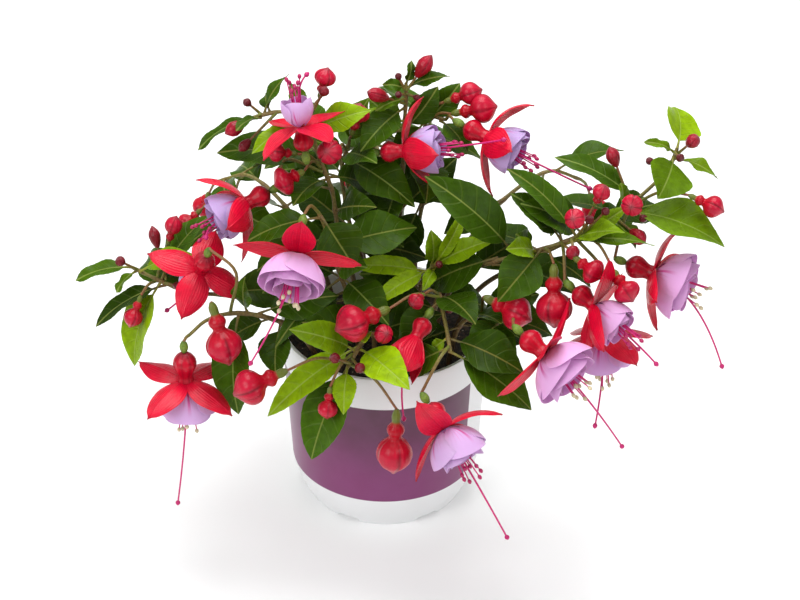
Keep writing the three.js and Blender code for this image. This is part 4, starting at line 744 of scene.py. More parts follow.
@dataclass(frozen=True)
class GrainedSkin:
    """A thin skin whose colour is broken by fine grain."""

    name: str
    roughness: float
    grain_mm: float  # flecks of darker and lighter skin
    pit_mm: float  # the skin's cells, drawn coarser than they are so that they show
    darkest: float
    lightest: float
    depth_mm: float = 0.2

    def material(self) -> bpy.types.Material:
        """Colour by place on the plant, darker and lighter in the grain.

        Returns:
            The material.
        """
        material, node, dress = begin(self.name)
        place = node("TexCoord", out="Object")
        tint = node("Attribute", out="Color", attribute_name="tint")
        grain, pits = (
            node("TexNoise", {"Vector": place, "Scale": 1 / (size * MM), "Detail": 3.0})
            for size in (self.grain_mm, self.pit_mm)
        )
        shade = node("MapRange", (grain, 0.3, 0.7, self.darkest, self.lightest), **EASED)
        dress({
            "Base Color": node("VectorMath", {0: tint, 3: shade}, operation="SCALE"),
            "Normal": node("Bump", {"Height": pits, "Distance": self.depth_mm * MM, "Strength": 0.5}),
            "Roughness": self.roughness,
        })
        return material


@dataclass(frozen=True)
class Bark(GrainedSkin):
    """Young fuchsia stem: thin tan skin with fine grain, and smooth green or red stalks."""

    name: str = "young_bark"
    roughness: float = 0.55
    grain_mm: float = 1.111
    pit_mm: float = 0.4545
    darkest: float = 0.72
    lightest: float = 1.2


@dataclass(frozen=True)
class ThreadSkin(GrainedSkin):
    """Filaments, anthers and style: smooth, slightly moist threads, and dry powdery anthers."""

    name: str = "moist_thread"
    roughness: float = 0.38
    grain_mm: float = 0.5556
    pit_mm: float = 0.3846
    darkest: float = 0.85
    lightest: float = 1.12


@dataclass(frozen=True)
class WaxySkin:
    """Fuchsia calyx and bud: a taut waxy skin, so a bright red with small soft highlights and fine ribs."""

    seam: str = "#5A0414"
    roughness: float = 0.34
    gloss: float = 0.22
    coat: float = 0.12
    coat_roughness: float = 0.18
    rib_mm: float = 1.4167  # from one fine rib of a sepal to the next
    cloud_mm: float = 5.556  # brighter and deeper patches
    pit_mm: float = 1.4286  # the skin's cells, drawn coarser than they are so that they show
    depth_mm: float = 0.28

    def material(self) -> bpy.types.Material:
        """The red of each place, darker in the seams, with fine lengthwise ribs.

        Returns:
            The material.
        """
        material, node, dress = begin("waxy_calyx")
        place = node("TexCoord", out="Object")
        tint = node("Attribute", out="Color", attribute_name="tint")
        clouds, pits = (
            node("TexNoise", {"Vector": place, "Scale": 1 / (size * MM), "Detail": 3.0})
            for size in (self.cloud_mm, self.pit_mm)
        )
        cloud = node("MapRange", (clouds, 0.3, 0.7, 0.88, 1.1), **EASED)
        base = node("VectorMath", {0: tint, 3: cloud}, operation="SCALE")
        seam = node("Attribute", out="Fac", attribute_name="seam")
        seam = node("Math", (seam, 0.75), operation="MULTIPLY")
        across = node("SeparateXYZ", (node("UVMap", out="UV", uv_map="surface"),), "X")
        wave = node("Math", (across, SEPAL_WIDTH / self.rib_mm * FULL_TURN), operation="MULTIPLY")
        wave = node("Math", (wave,), operation="SINE")
        lined = node("MapRange", (wave, -0.4, -1.0, 0.0, 0.05), **EASED)
        lined = node("Math", (seam, lined), operation="MAXIMUM")
        relief = node("Math", (node("Math", (wave, 0.35), operation="MULTIPLY"), pits), operation="ADD")
        dress({
            "Base Color": node("Mix", {0: lined, 6: base, 7: rgba(self.seam)}, 2, data_type="RGBA"),
            "Normal": node("Bump", {"Height": relief, "Distance": self.depth_mm * MM, "Strength": 0.6}),
            "Specular IOR Level": self.gloss,
            "Roughness": self.roughness,
            "Coat Weight": self.coat,
            "Coat Roughness": self.coat_roughness,
        })
        return material


@dataclass(frozen=True)
class PetalSkin:
    """Fuchsia petal: a soft velvety skin, so matt with a faint glow, and magenta veins from its foot."""

    vein: str = "#C0187C"
    vein_mm: float = 2.0  # from one fine vein to the next
    roughness: float = 0.6
    gloss: float = 0.25
    sheen: float = 0.15
    glow: float = 0.25
    glow_mm: float = 2.0  # how far light spreads inside
    fold_mm: tuple = (1.1667, 13.068)  # a soft fold's width and length
    pit_mm: float = 0.6667  # the velvet's grain, drawn coarser than it is so that it shows
    depth_mm: float = 0.3

    def material(self) -> bpy.types.Material:
        """Lilac by place, with a stripe and fine veins that fade before the rim.

        Returns:
            The material.
        """
        material, node, dress = begin("velvet_petal")
        tint = node("Attribute", out="Color", attribute_name="tint")
        place = node("UVMap", out="UV", uv_map="surface")
        across, along = (node("SeparateXYZ", (place,), axis) for axis in "XY")
        middle = node("Math", (across, 0.5), operation="SUBTRACT")
        middle = node("Math", (middle,), operation="ABSOLUTE")
        lines = node("Math", (across, PETAL_WIDTH / self.vein_mm * FULL_TURN), operation="MULTIPLY")
        lines = node("Math", (lines,), operation="SINE")
        fine = node("MapRange", (lines, 0.7, 1.0, 0.0, 1.0), **EASED)
        for value, *limits in ((middle, 0.34, 0.08, 0.0, 1.0), (along, 0.75, 0.3, 0.0, 0.6)):
            fine = node("Math", (fine, node("MapRange", (value, *limits), **EASED)), operation="MULTIPLY")
        stripe = node("MapRange", (middle, 0.04, 0.01, 0.0, 1.0), **EASED)
        stripe = node("Math", (stripe, node("MapRange", (along, 0.85, 0.4, 0.0, 1.0), **EASED)),
                      operation="MULTIPLY")
        veined = node("Math", (node("Math", (fine, stripe), operation="MAXIMUM"), 0.85), operation="MULTIPLY")
        folds = (PETAL_WIDTH / self.fold_mm[0], PETAL_LENGTH / self.fold_mm[1], 1.0)
        soft = node("Mapping", {"Vector": place, "Scale": folds})
        grain = node("TexNoise", {"Vector": soft, "Scale": 1.0, "Detail": 2.0})
        pits = node("TexNoise", {
            "Vector": node("TexCoord", out="Object"), "Scale": 1 / (self.pit_mm * MM), "Detail": 3.0,
        })
        relief = node("Math", (grain, node("Math", (pits, 0.3), operation="MULTIPLY")), operation="ADD")
        dress({
            "Base Color": node("Mix", {0: veined, 6: tint, 7: rgba(self.vein)}, 2, data_type="RGBA"),
            "Normal": node("Bump", {"Height": relief, "Distance": self.depth_mm * MM, "Strength": 0.5}),
            "Specular IOR Level": self.gloss,
            "Roughness": self.roughness,
            "Sheen Weight": self.sheen,
            "Subsurface Weight": self.glow,
            "Subsurface Radius": (1.0, 0.5, 0.9),
            "Subsurface Scale": self.glow_mm * MM,
        })
        return material


@dataclass(frozen=True)
class MouldedPolypropylene:
    """Thin injection-moulded polypropylene: white and half gloss, with a band of glossier purple film."""

    white: str = "#EEEFF0"
    smudge: str = "#D8D6D0"
    purple: str = "#80346A"
    # Painted shade: the film's purple towards its top, where the leaves above shade it.
    deep_painted_shade: str = "#552440"
    # Painted sheen: a paler purple laid over the film in patches.
    cloud: str = "#955089"
    roughness: float = 0.4
    film_low: float = 24.5  # heights and turns that the film lies between, in mm and degrees from -Y
    film_high: float = 92.5
    film_left: float = -142.0
    film_right: float = 56.0
    edge: float = 0.35  # the film's edge, in mm or degrees
    rib_mm: float = 2.4  # from one fine upright rib to the next, seen beside the film
    rib_radius: float = 57.3  # of the wall halfway up
    cloud_mm: float = 16.67  # paler patches of the film, a painted sheen
    smudge_mm: float = 25.0  # faint marks on the white
    depth_mm: float = 0.2

    def material(self) -> bpy.types.Material:
        """White wall, and the film by height and by turn about the pot's axis, with painted shade towards the
        film's top and a painted sheen in patches.

        Returns:
            The material.
        """
        material, node, dress = begin("moulded_polypropylene")
        place = node("TexCoord", out="Object")
        x, y, z = (node("SeparateXYZ", (place,), axis) for axis in "XYZ")
        turn = node("Math", (x, node("Math", (y, -1.0), operation="MULTIPLY")), operation="ARCTAN2")
        turn = node("Math", (turn, 180 / math.pi), operation="MULTIPLY")
        height = node("Math", (z, 1 / MM), operation="MULTIPLY")
        ribs = FULL_TURN * self.rib_radius / self.rib_mm
        ribs = node("Math", (turn, ribs * math.pi / 180), operation="MULTIPLY")
        ribs = node("Math", (ribs,), operation="SINE")
        beside = node("MapRange", (turn, self.film_right, self.film_right + 8, 0.0, 1.0), **EASED)
        ribs = node("Math", (ribs, beside), operation="MULTIPLY")
        film = node("Attribute", out="Fac", attribute_name="outside")
        for value, limit, past in (
            (height, self.film_low, -self.edge), (height, self.film_high, self.edge),
            (turn, self.film_left, -self.edge), (turn, self.film_right, self.edge),
        ):
            inside = node("MapRange", (value, limit + past, limit, 0.0, 1.0), **EASED)
            film = node("Math", (film, inside), operation="MULTIPLY")
        clouds, smudges = (
            node("TexNoise", {"Vector": place, "Scale": 1 / (size * MM), "Detail": 3.0})
            for size in (self.cloud_mm, self.smudge_mm)
        )
        # Painted sheen: paler patches on the film.
        cloud = node("MapRange", (clouds, 0.35, 0.65, 0.0, 0.12), **EASED)
        smudge = node("MapRange", (smudges, 0.4, 0.8, 0.0, 0.05), **EASED)
        # Painted shade: the film darkens towards its top, where the leaves overhang it.
        rise = node("MapRange", (height, 30.0, 90.0, 0.0, 1.0), **EASED)
        purple = node("Mix", {0: rise, 6: rgba(self.purple), 7: rgba(self.deep_painted_shade)}, 2, data_type="RGBA")
        purple = node("Mix", {0: cloud, 6: purple, 7: rgba(self.cloud)}, 2, data_type="RGBA")
        white = node("Mix", {0: smudge, 6: rgba(self.white), 7: rgba(self.smudge)}, 2, data_type="RGBA")
        gloss, raised, ribbed = (
            node("Math", (value, share), operation="MULTIPLY")
            for value, share in ((film, 0.1), (film, 0.5), (ribs, 0.6))
        )
        relief = node("Math", (raised, ribbed), operation="ADD")
        dress({
            "Base Color": node("Mix", {0: film, 6: white, 7: purple}, 2, data_type="RGBA"),
            "Normal": node("Bump", {"Height": relief, "Distance": self.depth_mm * MM, "Strength": 0.6}),
            "Roughness": node("Math", (self.roughness, gloss), operation="SUBTRACT"),
        })
        return material


@dataclass(frozen=True)
class PeatCompost:
    """Moist peat compost: nearly black crumbs with a few pale fibres and grains."""

    dark: str = "#15100C"
    brown: str = "#3A2A1E"
    grain: str = "#9A8F80"
    roughness: float = 0.92
    crumb_mm: float = 2.381
    fleck_mm: float = 3.846  # from one pale grain to the next
    lump_mm: float = 1.4286  # rough edges of the crumbs
    depth_mm: float = 1.5

    def material(self) -> bpy.types.Material:
        """Two browns in crumbs, and scattered pale grains.

        Returns:
            The material.
        """
        material, node, dress = begin("peat_compost")
        place = node("TexCoord", out="Object")
        crumbs, lumps = (
            node("TexNoise", {"Vector": place, "Scale": 1 / (size * MM), "Detail": detail})
            for size, detail in ((self.crumb_mm, 6.0), (self.lump_mm, 8.0))
        )
        spots = node("TexVoronoi", {"Vector": place, "Scale": 1 / (self.fleck_mm * MM)}, "Distance")
        crumb = node("MapRange", (crumbs, 0.4, 0.65, 0.0, 1.0), **EASED)
        fleck = node("MapRange", (spots, 0.16, 0.1, 0.0, 0.7), **EASED)
        colour = node("Mix", {0: crumb, 6: rgba(self.dark), 7: rgba(self.brown)}, 2, data_type="RGBA")
        dress({
            "Base Color": node("Mix", {0: fleck, 6: colour, 7: rgba(self.grain)}, 2, data_type="RGBA"),
            "Normal": node("Bump", {"Height": lumps, "Distance": self.depth_mm * MM, "Strength": 1.0}),
            "Roughness": self.roughness,
        })
        return material


# Where things grow.


@dataclass
class Draw:
    """Repeatable random numbers, which start from a seed (mulberry32)."""

    state: int

    def next(self) -> float:
        """Steps to the next number.

        Returns:
            A number from 0 to 1.
        """
        self.state = (self.state + 0x6D2B79F5) & 0xFFFFFFFF
        t = (self.state ^ (self.state >> 15)) * (self.state | 1) & 0xFFFFFFFF
        t = ((t + ((t ^ (t >> 7)) * (t | 61) & 0xFFFFFFFF)) ^ t) & 0xFFFFFFFF
        return (t ^ (t >> 14)) / 2**32


@dataclass
class Item:
    """One thing on a stem: where it heads, and once it is seated, its foot on the stem's skin."""

    kind: Growth
    share: float
    to: np.ndarray
    width: float = 0.0
    tone: float = 0.15
    filler: bool = False
    start: np.ndarray | None = None
    end: np.ndarray | None = None
    radius: float = 0.0
    bloom: str = ""
    stem: int = 0
    at: float = 0.0
    foot: np.ndarray | None = None


@dataclass
class Stem:
    """A stem and its nodes, short stretches with a face to each of four sides for a thing to grow from."""

    plan: StemPlan
    thick: float  # radius at the foot
    nodes: list[dict] = field(default_factory=list)
    least_turn: float = 2.3e-16  # a smaller turn between two steps is none

    def __post_init__(self) -> None:
        """Lays out the route, and the directions along and across it."""
        self.route = Route(self.plan.route)
        self.slopes = self.route.slopes(np.linspace(0, 1, Route.STEPS + 1))
        self.sides = self.carried_sides()

    def carried_sides(self) -> np.ndarray:
        """A direction across the stem at each step, carried along without twist from the least of its axes.

        Returns:
            One row for each step of the route.
        """
        slopes = self.slopes
        least = np.zeros(3)
        least[2 - int(np.argmin(np.abs(slopes[0])[::-1]))] = 1.0
        side = np.cross(slopes[0], unit(np.cross(slopes[0], least)))
        sides = [side]
        for a, b in zip(slopes[:-1], slopes[1:]):
            axis = np.cross(a, b)
            size = float(np.linalg.norm(axis))
            if size > self.least_turn:
                side = turned(side, axis / size, math.acos(min(max(float(a @ b), -1.0), 1.0)))
            sides.append(side)
        return np.array(sides)

    def frame_at(self, at: float) -> Frame:
        """The stem's frame at a length along it."""
        k = int(math.floor(min(max(at / self.route.length, 0.0), 1.0) * Route.STEPS + 0.5))
        return Frame(self.slopes[k], self.sides[k], np.cross(self.slopes[k], self.sides[k]))

    def point_at(self, at: float) -> np.ndarray:
        """The place at a length along the stem."""
        return self.route.spread(min(at / self.route.length, 1.0))[0]

    def radius_at(self, at: float | np.ndarray) -> float | np.ndarray:
        """The radius at a length: straight from thick at the foot to the tip's."""
        return self.thick + (STEM_TIP_RADIUS - self.thick) * (at / self.route.length)

    def face_turn(self, side: int) -> float:
        """A face's turn about the stem, in radians."""
        return (side + 0.5) * FULL_TURN / NODE_FACES

    def free_side(self, node: dict, way: np.ndarray) -> tuple[float, int] | None:
        """The free face of a node that looks most one way.

        Args:
            node: The node, with its length along the stem and the faces that are taken.
            way: The way, a unit vector.

        Returns:
            The cosine between the face and the way, and the face's number, or None where none is free.
        """
        frame_here = self.frame_at(node["at"])
        fits = [
            (float(way @ frame_here.across(self.face_turn(side))), side)
            for side in range(NODE_FACES)
            if side not in node["taken"]
        ]
        return max(fits, key=lambda fit: fit[0]) if fits else None

    def seat(self, items: list[Item]) -> None:
        """Gives each item its foot: on the free face that looks its way, at or below its place on the route.

        Args:
            items: What the stem carries. The one most in line with the stem's end takes the end itself.
        """
        length = self.route.length
        for item in items:
            item.at = float(self.route.lengths[int(math.floor(item.share * Route.STEPS + 0.5))])
        tip, ahead = self.point_at(length), self.route.slopes(1.0)[0]
        straight = {id(item): float(unit(item.to - tip) @ ahead) for item in items}
        ends = [i for i in items if i.at > length - NODE_REACH and not i.filler and straight[id(i)] > TIP_FIT]
        last = max(ends, key=lambda i: straight[id(i)]) if ends else None
        if last is not None:
            last.foot = tip
        for item in sorted((i for i in items if i is not last), key=lambda i: -i.at):
            item.foot = self.seated(item)

    def seated(self, item: Item) -> np.ndarray:
        """Finds one item's foot, on a node that has room for it or on a new node under the others.

        Args:
            item: The item, with its length along the stem.

        Returns:
            A place a little inside the stem's skin.
        """
        way = unit(item.to - self.point_at(item.at))
        near = [n for n in self.nodes if abs(n["at"] - item.at) < NODE_REACH]
        places = [(self.free_side(n, way), n) for n in near]
        places = [(fit, n) for fit, n in places if fit and fit[0] > FACE_FIT]
        if places:
            (_, side), node = max(places, key=lambda place: place[0][0])
        else:
            lowest = min([self.route.length] + [n["at"] for n in self.nodes]) - NODE_LENGTH - NODE_SPACE
            node = {"at": max(min(item.at, lowest), NODE_LENGTH), "taken": set()}
            self.nodes.append(node)
            _, side = self.free_side(node, way)
        node["taken"].add(side)
        out = self.frame_at(node["at"]).across(self.face_turn(side))
        return self.point_at(node["at"]) + out * (self.radius_at(node["at"]) * 0.7 + 0.5)


# Leaves.


@dataclass
class LeafForm:
    """The form of every leaf: a stalk, and a pointed blade folded along its rib, with fine teeth."""

    rows: int = 27
    cols: int = 13
    stalk: float = 0.14  # share of the reach that is stalk
    arch: float = 0.1  # rise of the rib's middle, of the reach
    fold: float = 0.3  # rise of the blade's sides, of the half width
    wave: float = 1.1
    thickness: float = 0.5
    teeth: int = 11
    tooth: float = 0.35
    veins: float = 7.0  # side veins on each half
    hollow: float = 0.16  # depth of the blade along its side veins
    old: str = "#192803"
    ripe: str = "#3D5C08"
    young: str = "#8AAA0C"
    stalk_red: str = "#8A5A38"
    stalk_radii: tuple = (0.95, 0.8, 0.7, 0.65, 0.6, 0.5, 0.3)
    lifts: tuple = (0, 7, -7, 14, -14, 22, -22, 32, -32)  # degrees that a leaf may be swung by
    swings: tuple = (0, 8, -8, 17, -17, 27, -27)
    tip_miss: float = 0.3  # a leaf's node has its end's corners within this

    def axes(self, foot: np.ndarray, tip: np.ndarray) -> Frame:
        """The leaf's frame. Leaves look up and towards the side that they stand on: over lies in the plane of
        the reach and of up + 0.8 of the level way from the plant's middle to the tip.

        Args:
            foot: Where the stalk leaves the stem.
            tip: The leaf's point.

        Returns:
            The frame, along from foot to tip.
        """
        along = unit(tip - foot)
        out = unit(tip * np.array([1, 1, 0]) - np.array([0, 40, 0]))
        side = unit(np.cross(along, unit(UP + 0.8 * out)))
        return Frame(along, side, np.cross(side, along))

    def width_at(self, s: np.ndarray) -> np.ndarray:
        """The half width at shares of the reach, of the full one: sin(pi t^0.86)^0.9 (1.12 - 0.25 t)."""
        t = np.clip((s - self.stalk) / (1 - self.stalk), 0, 1)
        return np.maximum(np.sin(math.pi * t**0.86), 0) ** 0.9 * (1.12 - 0.25 * t)

    def middle(self, foot: np.ndarray, tip: np.ndarray, s: np.ndarray) -> np.ndarray:
        """The rib: straight from foot to tip, lifted by arch reach 4 s (1 - s).

        Args:
            foot: Where the stalk leaves the stem.
            tip: The leaf's point.
            s: Shares of the reach.

        Returns:
            A place for each share.
        """
        axes = self.axes(foot, tip)
        reach = float(np.linalg.norm(tip - foot))
        s = np.asarray(s, float)[..., None]
        return foot + axes.along * s * reach + axes.over * self.arch * reach * 4 * s * (1 - s)

    def colour(self, tone: float) -> np.ndarray:
        """The colour at a tone from 0, old, over a half, ripe, to 1, young."""
        old, ripe, young = linear(self.old), linear(self.ripe), linear(self.young)
        return mixed(old, ripe, 2 * tone) if tone < 0.5 else mixed(ripe, young, 2 * tone - 1)

    def blade(self, foot: np.ndarray, tip: np.ndarray, width: float, tone: float,
              draw: np.random.Generator) -> Shell:
        """The blade P(s, u) = rib(s) + side u half(s) + over (fold |u| half(s) + wave u sin 9s + a ripple of the
        rim), with small teeth on its edge and hollows along its side veins.

        Args:
            foot: Where the stalk leaves the stem.
            tip: The leaf's point.
            width: Its full width.
            tone: Its age.
            draw: Random numbers for its own small differences.

        Returns:
            The shell.
        """
        axes = self.axes(foot, tip)
        reach = float(np.linalg.norm(tip - foot))
        s = np.linspace(self.stalk - 0.03, 1, self.rows)[:, None]
        u = np.linspace(-1, 1, self.cols)[None, :]
        half = np.maximum(self.width_at(s) * width / 2, 0.45 - 0.33 * s)
        inner = smooth(self.stalk, self.stalk + 0.12, s) * smooth(1.0, 0.93, s)
        tooth = self.tooth * (1 - 2 * np.abs((s * self.teeth) % 1 - 0.5)) * inner * np.abs(u) ** 7 * np.sign(u)
        bent = np.sqrt(u * u + 0.02) - math.sqrt(0.02)
        run = self.veins * (s - 0.20 * np.abs(u) ** 1.25 * min(1.0, 1.6 * width / reach)) + draw.random()
        puff = self.hollow * np.cos(FULL_TURN * run) * inner * np.sqrt(np.abs(u)) * (1 - u * u)
        puff *= min(1.0, width / 16)
        ripple = draw.uniform(0.25, 0.6) * np.sin(draw.uniform(14, 20) * s + 2 * np.sign(u))
        ripple = ripple * np.abs(u) ** 3 * inner
        lift = self.fold * half * bent + self.wave * u * np.sin(9 * s) * inner - puff + ripple
        grid = (
            self.middle(foot, tip, s[:, 0])[:, None]
            + axes.side * (u * half + tooth)[..., None]
            + axes.over * lift[..., None]
        )
        thin = self.thickness / 2 * (1 - 0.55 * u**4) * (1 - 0.5 * smooth(0.8, 1.0, s))
        base = self.colour(min(max(tone + draw.uniform(-0.06, 0.06), 0.0), 1.0)) * draw.uniform(0.9, 1.1)
        paler = 1 + 0.25 * np.abs(u) ** 5 + 0.12 * (s - 0.5)
        ruddy = max(0.0, 0.75 - tone) * draw.random()
        marks = {"vein": run, "rib": np.abs(u * half), "ruddy": ruddy + 0 * run}
        return blade_shell(grid, thin, base * paler[..., None], marks)

    def stalk_shell(self, foot: np.ndarray, tip: np.ndarray, tone: float) -> Shell:
        """The round stalk, from inside the stem to the blade's foot, with its rib running on a little.

        Args:
            foot: Where it leaves the stem.
            tip: The leaf's point.
            tone: The leaf's age.

        Returns:
            The shell.
        """
        count = len(self.stalk_radii)
        path = self.middle(foot, tip, np.linspace(-0.02, self.stalk + 0.12, count))
        path[-3:] -= self.axes(foot, tip).over * 0.15
        green = self.colour(min(tone + 0.25, 1.0))
        tint = mixed(green, linear(self.stalk_red), np.linspace(0.6, 0.1, count)[:, None])
        return path_tube(path, np.array(self.stalk_radii), tint, 7)

    def swung(self, item: Item) -> np.ndarray:
        """The tips that a leaf may be swung to, lifted and turned about its foot.

        Args:
            item: The leaf, seated.

        Returns:
            One row for each tip.
        """
        way = item.to - item.foot
        side = unit(np.cross(way, UP))
        tips = []
        for lift in self.lifts:
            raised = turned(way, side, math.radians(lift))
            tips += [turned(raised, UP, math.radians(swing)) for swing in self.swings]
        return item.foot + np.array(tips)

    def found_tip(self, item: Item, corners: np.ndarray) -> np.ndarray | None:
        """The swung tip whose four end corners lie nearest to corners of the leaf's own node.

        Args:
            item: The leaf, seated.
            corners: The node's corners.

        Returns:
            The tip, or None for a filling leaf that the node doesn't have.
        """
        tips = self.swung(item)
        errors = []
        for tip in tips:
            axes = self.axes(item.foot, tip)
            out = unit(axes.over + axes.along * 4 * self.arch)
            ends = tip + axes.over * 0.21 + np.array(
                [a * 0.7 * axes.side + b * BLADE / 2 * out for a in (-1, 1) for b in (-1, 1)]
            )
            gaps = np.linalg.norm(corners[None] - ends[:, None], axis=2).min(axis=1)
            errors.append(float(gaps.max()))
        best = int(np.argmin(errors))
        return tips[best] if errors[best] < self.tip_miss else None


# Buds.


@dataclass
class BudForm:
    """A bud: ovary, neck and the closed calyx, a globe with four seams that ends in a point."""

    rows: int = 30
    sides: int = 48
    seam_depth: float = 0.09  # of the radius
    seam_width: float = 0.085  # radians
    rib_depth: float = 0.012
    ribs: int = 20
    red: str = "#B0061F"
    bright: str = "#C81640"
    maroon: str = "#5E161E"
    tip: str = "#8C4A50"
    green: str = "#66702A"
    big: tuple = ((0, 0.1), (0.05, 0.22), (0.11, 0.27), (0.17, 0.23), (0.2, 0.18), (0.23, 0.33), (0.28, 0.49),
                  (0.34, 0.5), (0.385, 0.37), (0.42, 0.3), (0.45, 0.38), (0.51, 0.72), (0.6, 0.95), (0.69, 1.0),
                  (0.78, 0.94), (0.86, 0.72), (0.92, 0.42), (0.97, 0.17), (1.0, 0.05))
    small: tuple = ((0, 0.32), (0.08, 0.5), (0.3, 0.84), (0.55, 1.0), (0.75, 0.82), (0.9, 0.42), (1.0, 0.08))

    def shell(self, foot: np.ndarray, tip: np.ndarray, radius: float, roll: float, grown: bool) -> Shell:
        """A turned body with four seams: ring radius r(d) (1 - depth g + rib depth (1 - g) cos(ribs a)), where
        g = exp(-(angle to seam / seam width)^2).

        Args:
            foot: The start of the ovary, or of a small bud.
            tip: Its point.
            radius: The globe's radius.
            roll: The first seam's turn in radians.
            grown: Whether the ovary and the neck show.

        Returns:
            The shell.
        """
        d, r = np.array(self.big if grown else self.small).T
        v = np.linspace(0, 1, self.rows)
        a = turns(self.sides)
        frame_here = Frame.of(tip - foot)
        to_seam = np.abs((a - roll + math.pi / 4) % (math.pi / 2) - math.pi / 4)
        groove = np.exp(-((to_seam / self.seam_width) ** 2))[None, :] * (
            smooth(0.42, 0.6, v) * smooth(1.0, 0.94, v) if grown else smooth(0.1, 0.4, v)
        )[:, None]
        ring = np.interp(v, d, r)
        ring = np.convolve(np.pad(ring, 1, mode="edge"), [0.2, 0.6, 0.2], "valid") * radius
        lobes = 1 - self.seam_depth * groove + self.rib_depth * (1 - groove) * np.cos(self.ribs * (a - roll))
        grid = (
            foot + (tip - foot) * v[:, None, None]
            + frame_here.across(a)[None] * (ring[:, None] * lobes)[..., None]
        )
        young = 1 - smooth(2.2, 6.0, np.array(radius))
        red = mixed(linear(self.red), linear(self.maroon), young)
        tint = mixed(red, linear(self.bright), (0.5 * smooth(0.4, 0.75, v) * (1 - young))[:, None])
        tint = mixed(tint, linear(self.tip), (0.7 * smooth(0.9, 1.0, v))[:, None])
        if grown:
            tint = mixed(tint, linear(self.green), (1 - smooth(0.18, 0.215, v))[:, None])
        return tube_shell(grid, tint[:, None], {"seam": groove})


# Shoots.


@dataclass
class Shoot:
    """A shoot: its stems, the main one first, with what grows on them."""

    name: str
    plans: list[StemPlan]
    draw: Draw  # the plant's random numbers, as far as the shoots before have used them
    wood: str = "#5E452A"
    soft_wood: str = "#7A7232"
    knot: str = "#7A4A38"
    stalk_green: str = "#6E7A2C"
    stalk_red: str = "#8A3A30"
    ovary_dark: str = "#4C6A14"
    ovary_pale: str = "#7C9428"
    side_stem: float = 1.2  # a side stem's foot, of the radius of a tip
    stem_step: float = 1.6  # length of one ring of a stem
    plain_tone: float = 0.25  # of a leaf whose tone isn't listed

    def __post_init__(self) -> None:
        """Lays out the stems and seats what they carry."""
        side = STEM_TIP_RADIUS * self.side_stem
        self.stems = [Stem(plan, side if i else STEM_RADIUS) for i, plan in enumerate(self.plans)]
        self.carried = [self.listed(i) for i in range(len(self.plans))]
        for stem, items in zip(self.stems, self.carried):
            stem.seat(items)
        self.random = np.random.default_rng(list(self.name.encode()))
        self.leaf_form = LeafForm()
        self.bud_form = BudForm()

    def listed(self, i: int) -> list[Item]:
        """What one stem carries, in the order in which it is seated.

        Args:
            i: The stem's number.

        Returns:
            Buds, blooms, side stems, the leaves of the plan, and the pairs of leaves between them.
        """
        plan, stem = self.stems[i].plan, self.stems[i]
        items = [
            Item(Growth.BUD, b[0], np.array(b[1:4] if b[7] > BUD_SMALL_RADIUS else b[4:7], float),
                 start=np.array(b[1:4], float), end=np.array(b[4:7], float), radius=b[7])
            for b in plan.buds
        ]
        items += [
            Item(Growth.BLOOM, bloom.on[2], np.array((*bloom.via, bloom.top)[0], float), bloom=key)
            for key, bloom in BLOOMS.items() if bloom.on[:2] == [self.name, i]
        ]
        if i == 0:
            items += [
                Item(Growth.STEM, other.plan.start, np.array(other.plan.route[1], float), stem=k + 1)
                for k, other in enumerate(self.stems[1:])
            ]
        items += [
            Item(Growth.LEAF, leaf[0], np.array(leaf[1:4], float), width=leaf[4],
                 tone=leaf[5] if len(leaf) > 5 else self.plain_tone)
            for leaf in plan.leaves
        ]
        for k, share in enumerate(plan.pairs):
            heading = 90 * k + 60 * self.draw.next()
            for half in (0, 180):
                turn = math.radians(heading + half)
                rise = math.radians(-20 + 45 * self.draw.next())
                reach = 34 + 16 * self.draw.next()
                level = math.cos(rise)
                way = np.array([math.cos(turn) * level, math.sin(turn) * level, math.sin(rise)])
                to = stem.route.at(share)[0] + way * reach
                items.append(
                    Item(Growth.LEAF, share, to, width=reach * 0.5, filler=True, tone=0.12 + 0.3 * share)
                )
        return items

    def all_of(self, kind: Growth) -> list[Item]:
        """All the things of one kind on the shoot."""
        return [item for items in self.carried for item in items if item.kind is kind]

    def stalk_tint(self, count: int, most: float) -> np.ndarray:
        """A stalk's colours at a count of places: green, and redder to its end by a share."""
        return mixed(linear(self.stalk_green), linear(self.stalk_red), np.linspace(0, most, count)[:, None])

    def leaves(self, corners: np.ndarray) -> tuple[list[Shell], list[Shell]]:
        """The leaves that the shoot's node has.

        Args:
            corners: The node's corners.

        Returns:
            The blades, and the stalks.
        """
        blades, stalks = [], []
        for item in self.all_of(Growth.LEAF):
            tip = self.leaf_form.found_tip(item, corners)
            if tip is None:
                log.debug("%s: no leaf at %s", self.name, item.to)
                continue
            blades.append(self.leaf_form.blade(item.foot, tip, item.width, item.tone, self.random))
            stalks.append(self.leaf_form.stalk_shell(item.foot, tip, item.tone))
        return blades, stalks

    def stem_shells(self) -> list[Shell]:
        """The stems: tubes of radius r(at) (0.84 + swell), with swell = 0.22 exp(-(distance to a node / 2)^2).

        Returns:
            One shell for each stem.
        """
        shells = []
        for i, stem in enumerate(self.stems):
            v = np.linspace(0, 1, max(12, int(stem.route.length / self.stem_step)))
            at = v * stem.route.length
            knots = np.array([n["at"] for n in stem.nodes] or [-99.0])
            swell = 0.22 * np.exp(-(((at[:, None] - knots) / 2.0) ** 2)).sum(axis=1).clip(0, 1)
            radii = stem.radius_at(at) * (0.84 + swell)
            if i > 0:
                v, radii = v[1:], radii[1:]
            age = smooth(0.15, 1.0, v if i == 0 else 0.8 + 0.2 * v)[:, None]
            tint = mixed(linear(self.wood), linear(self.soft_wood), age)
            tint = mixed(tint, linear(self.knot), (swell[-len(v):, None] * 1.6).clip(0, 0.55))
            path = stem.route.spread(v)
            if i > 0:
                foot = next(item.foot for item in self.all_of(Growth.STEM) if item.stem == i)
                path = np.vstack([foot - (path[0] - foot) * 0.05, path])
                radii, tint = np.append(radii[0], radii), np.vstack([tint[0], tint])
            shells.append(path_tube(path, radii, tint, 10))
        return shells

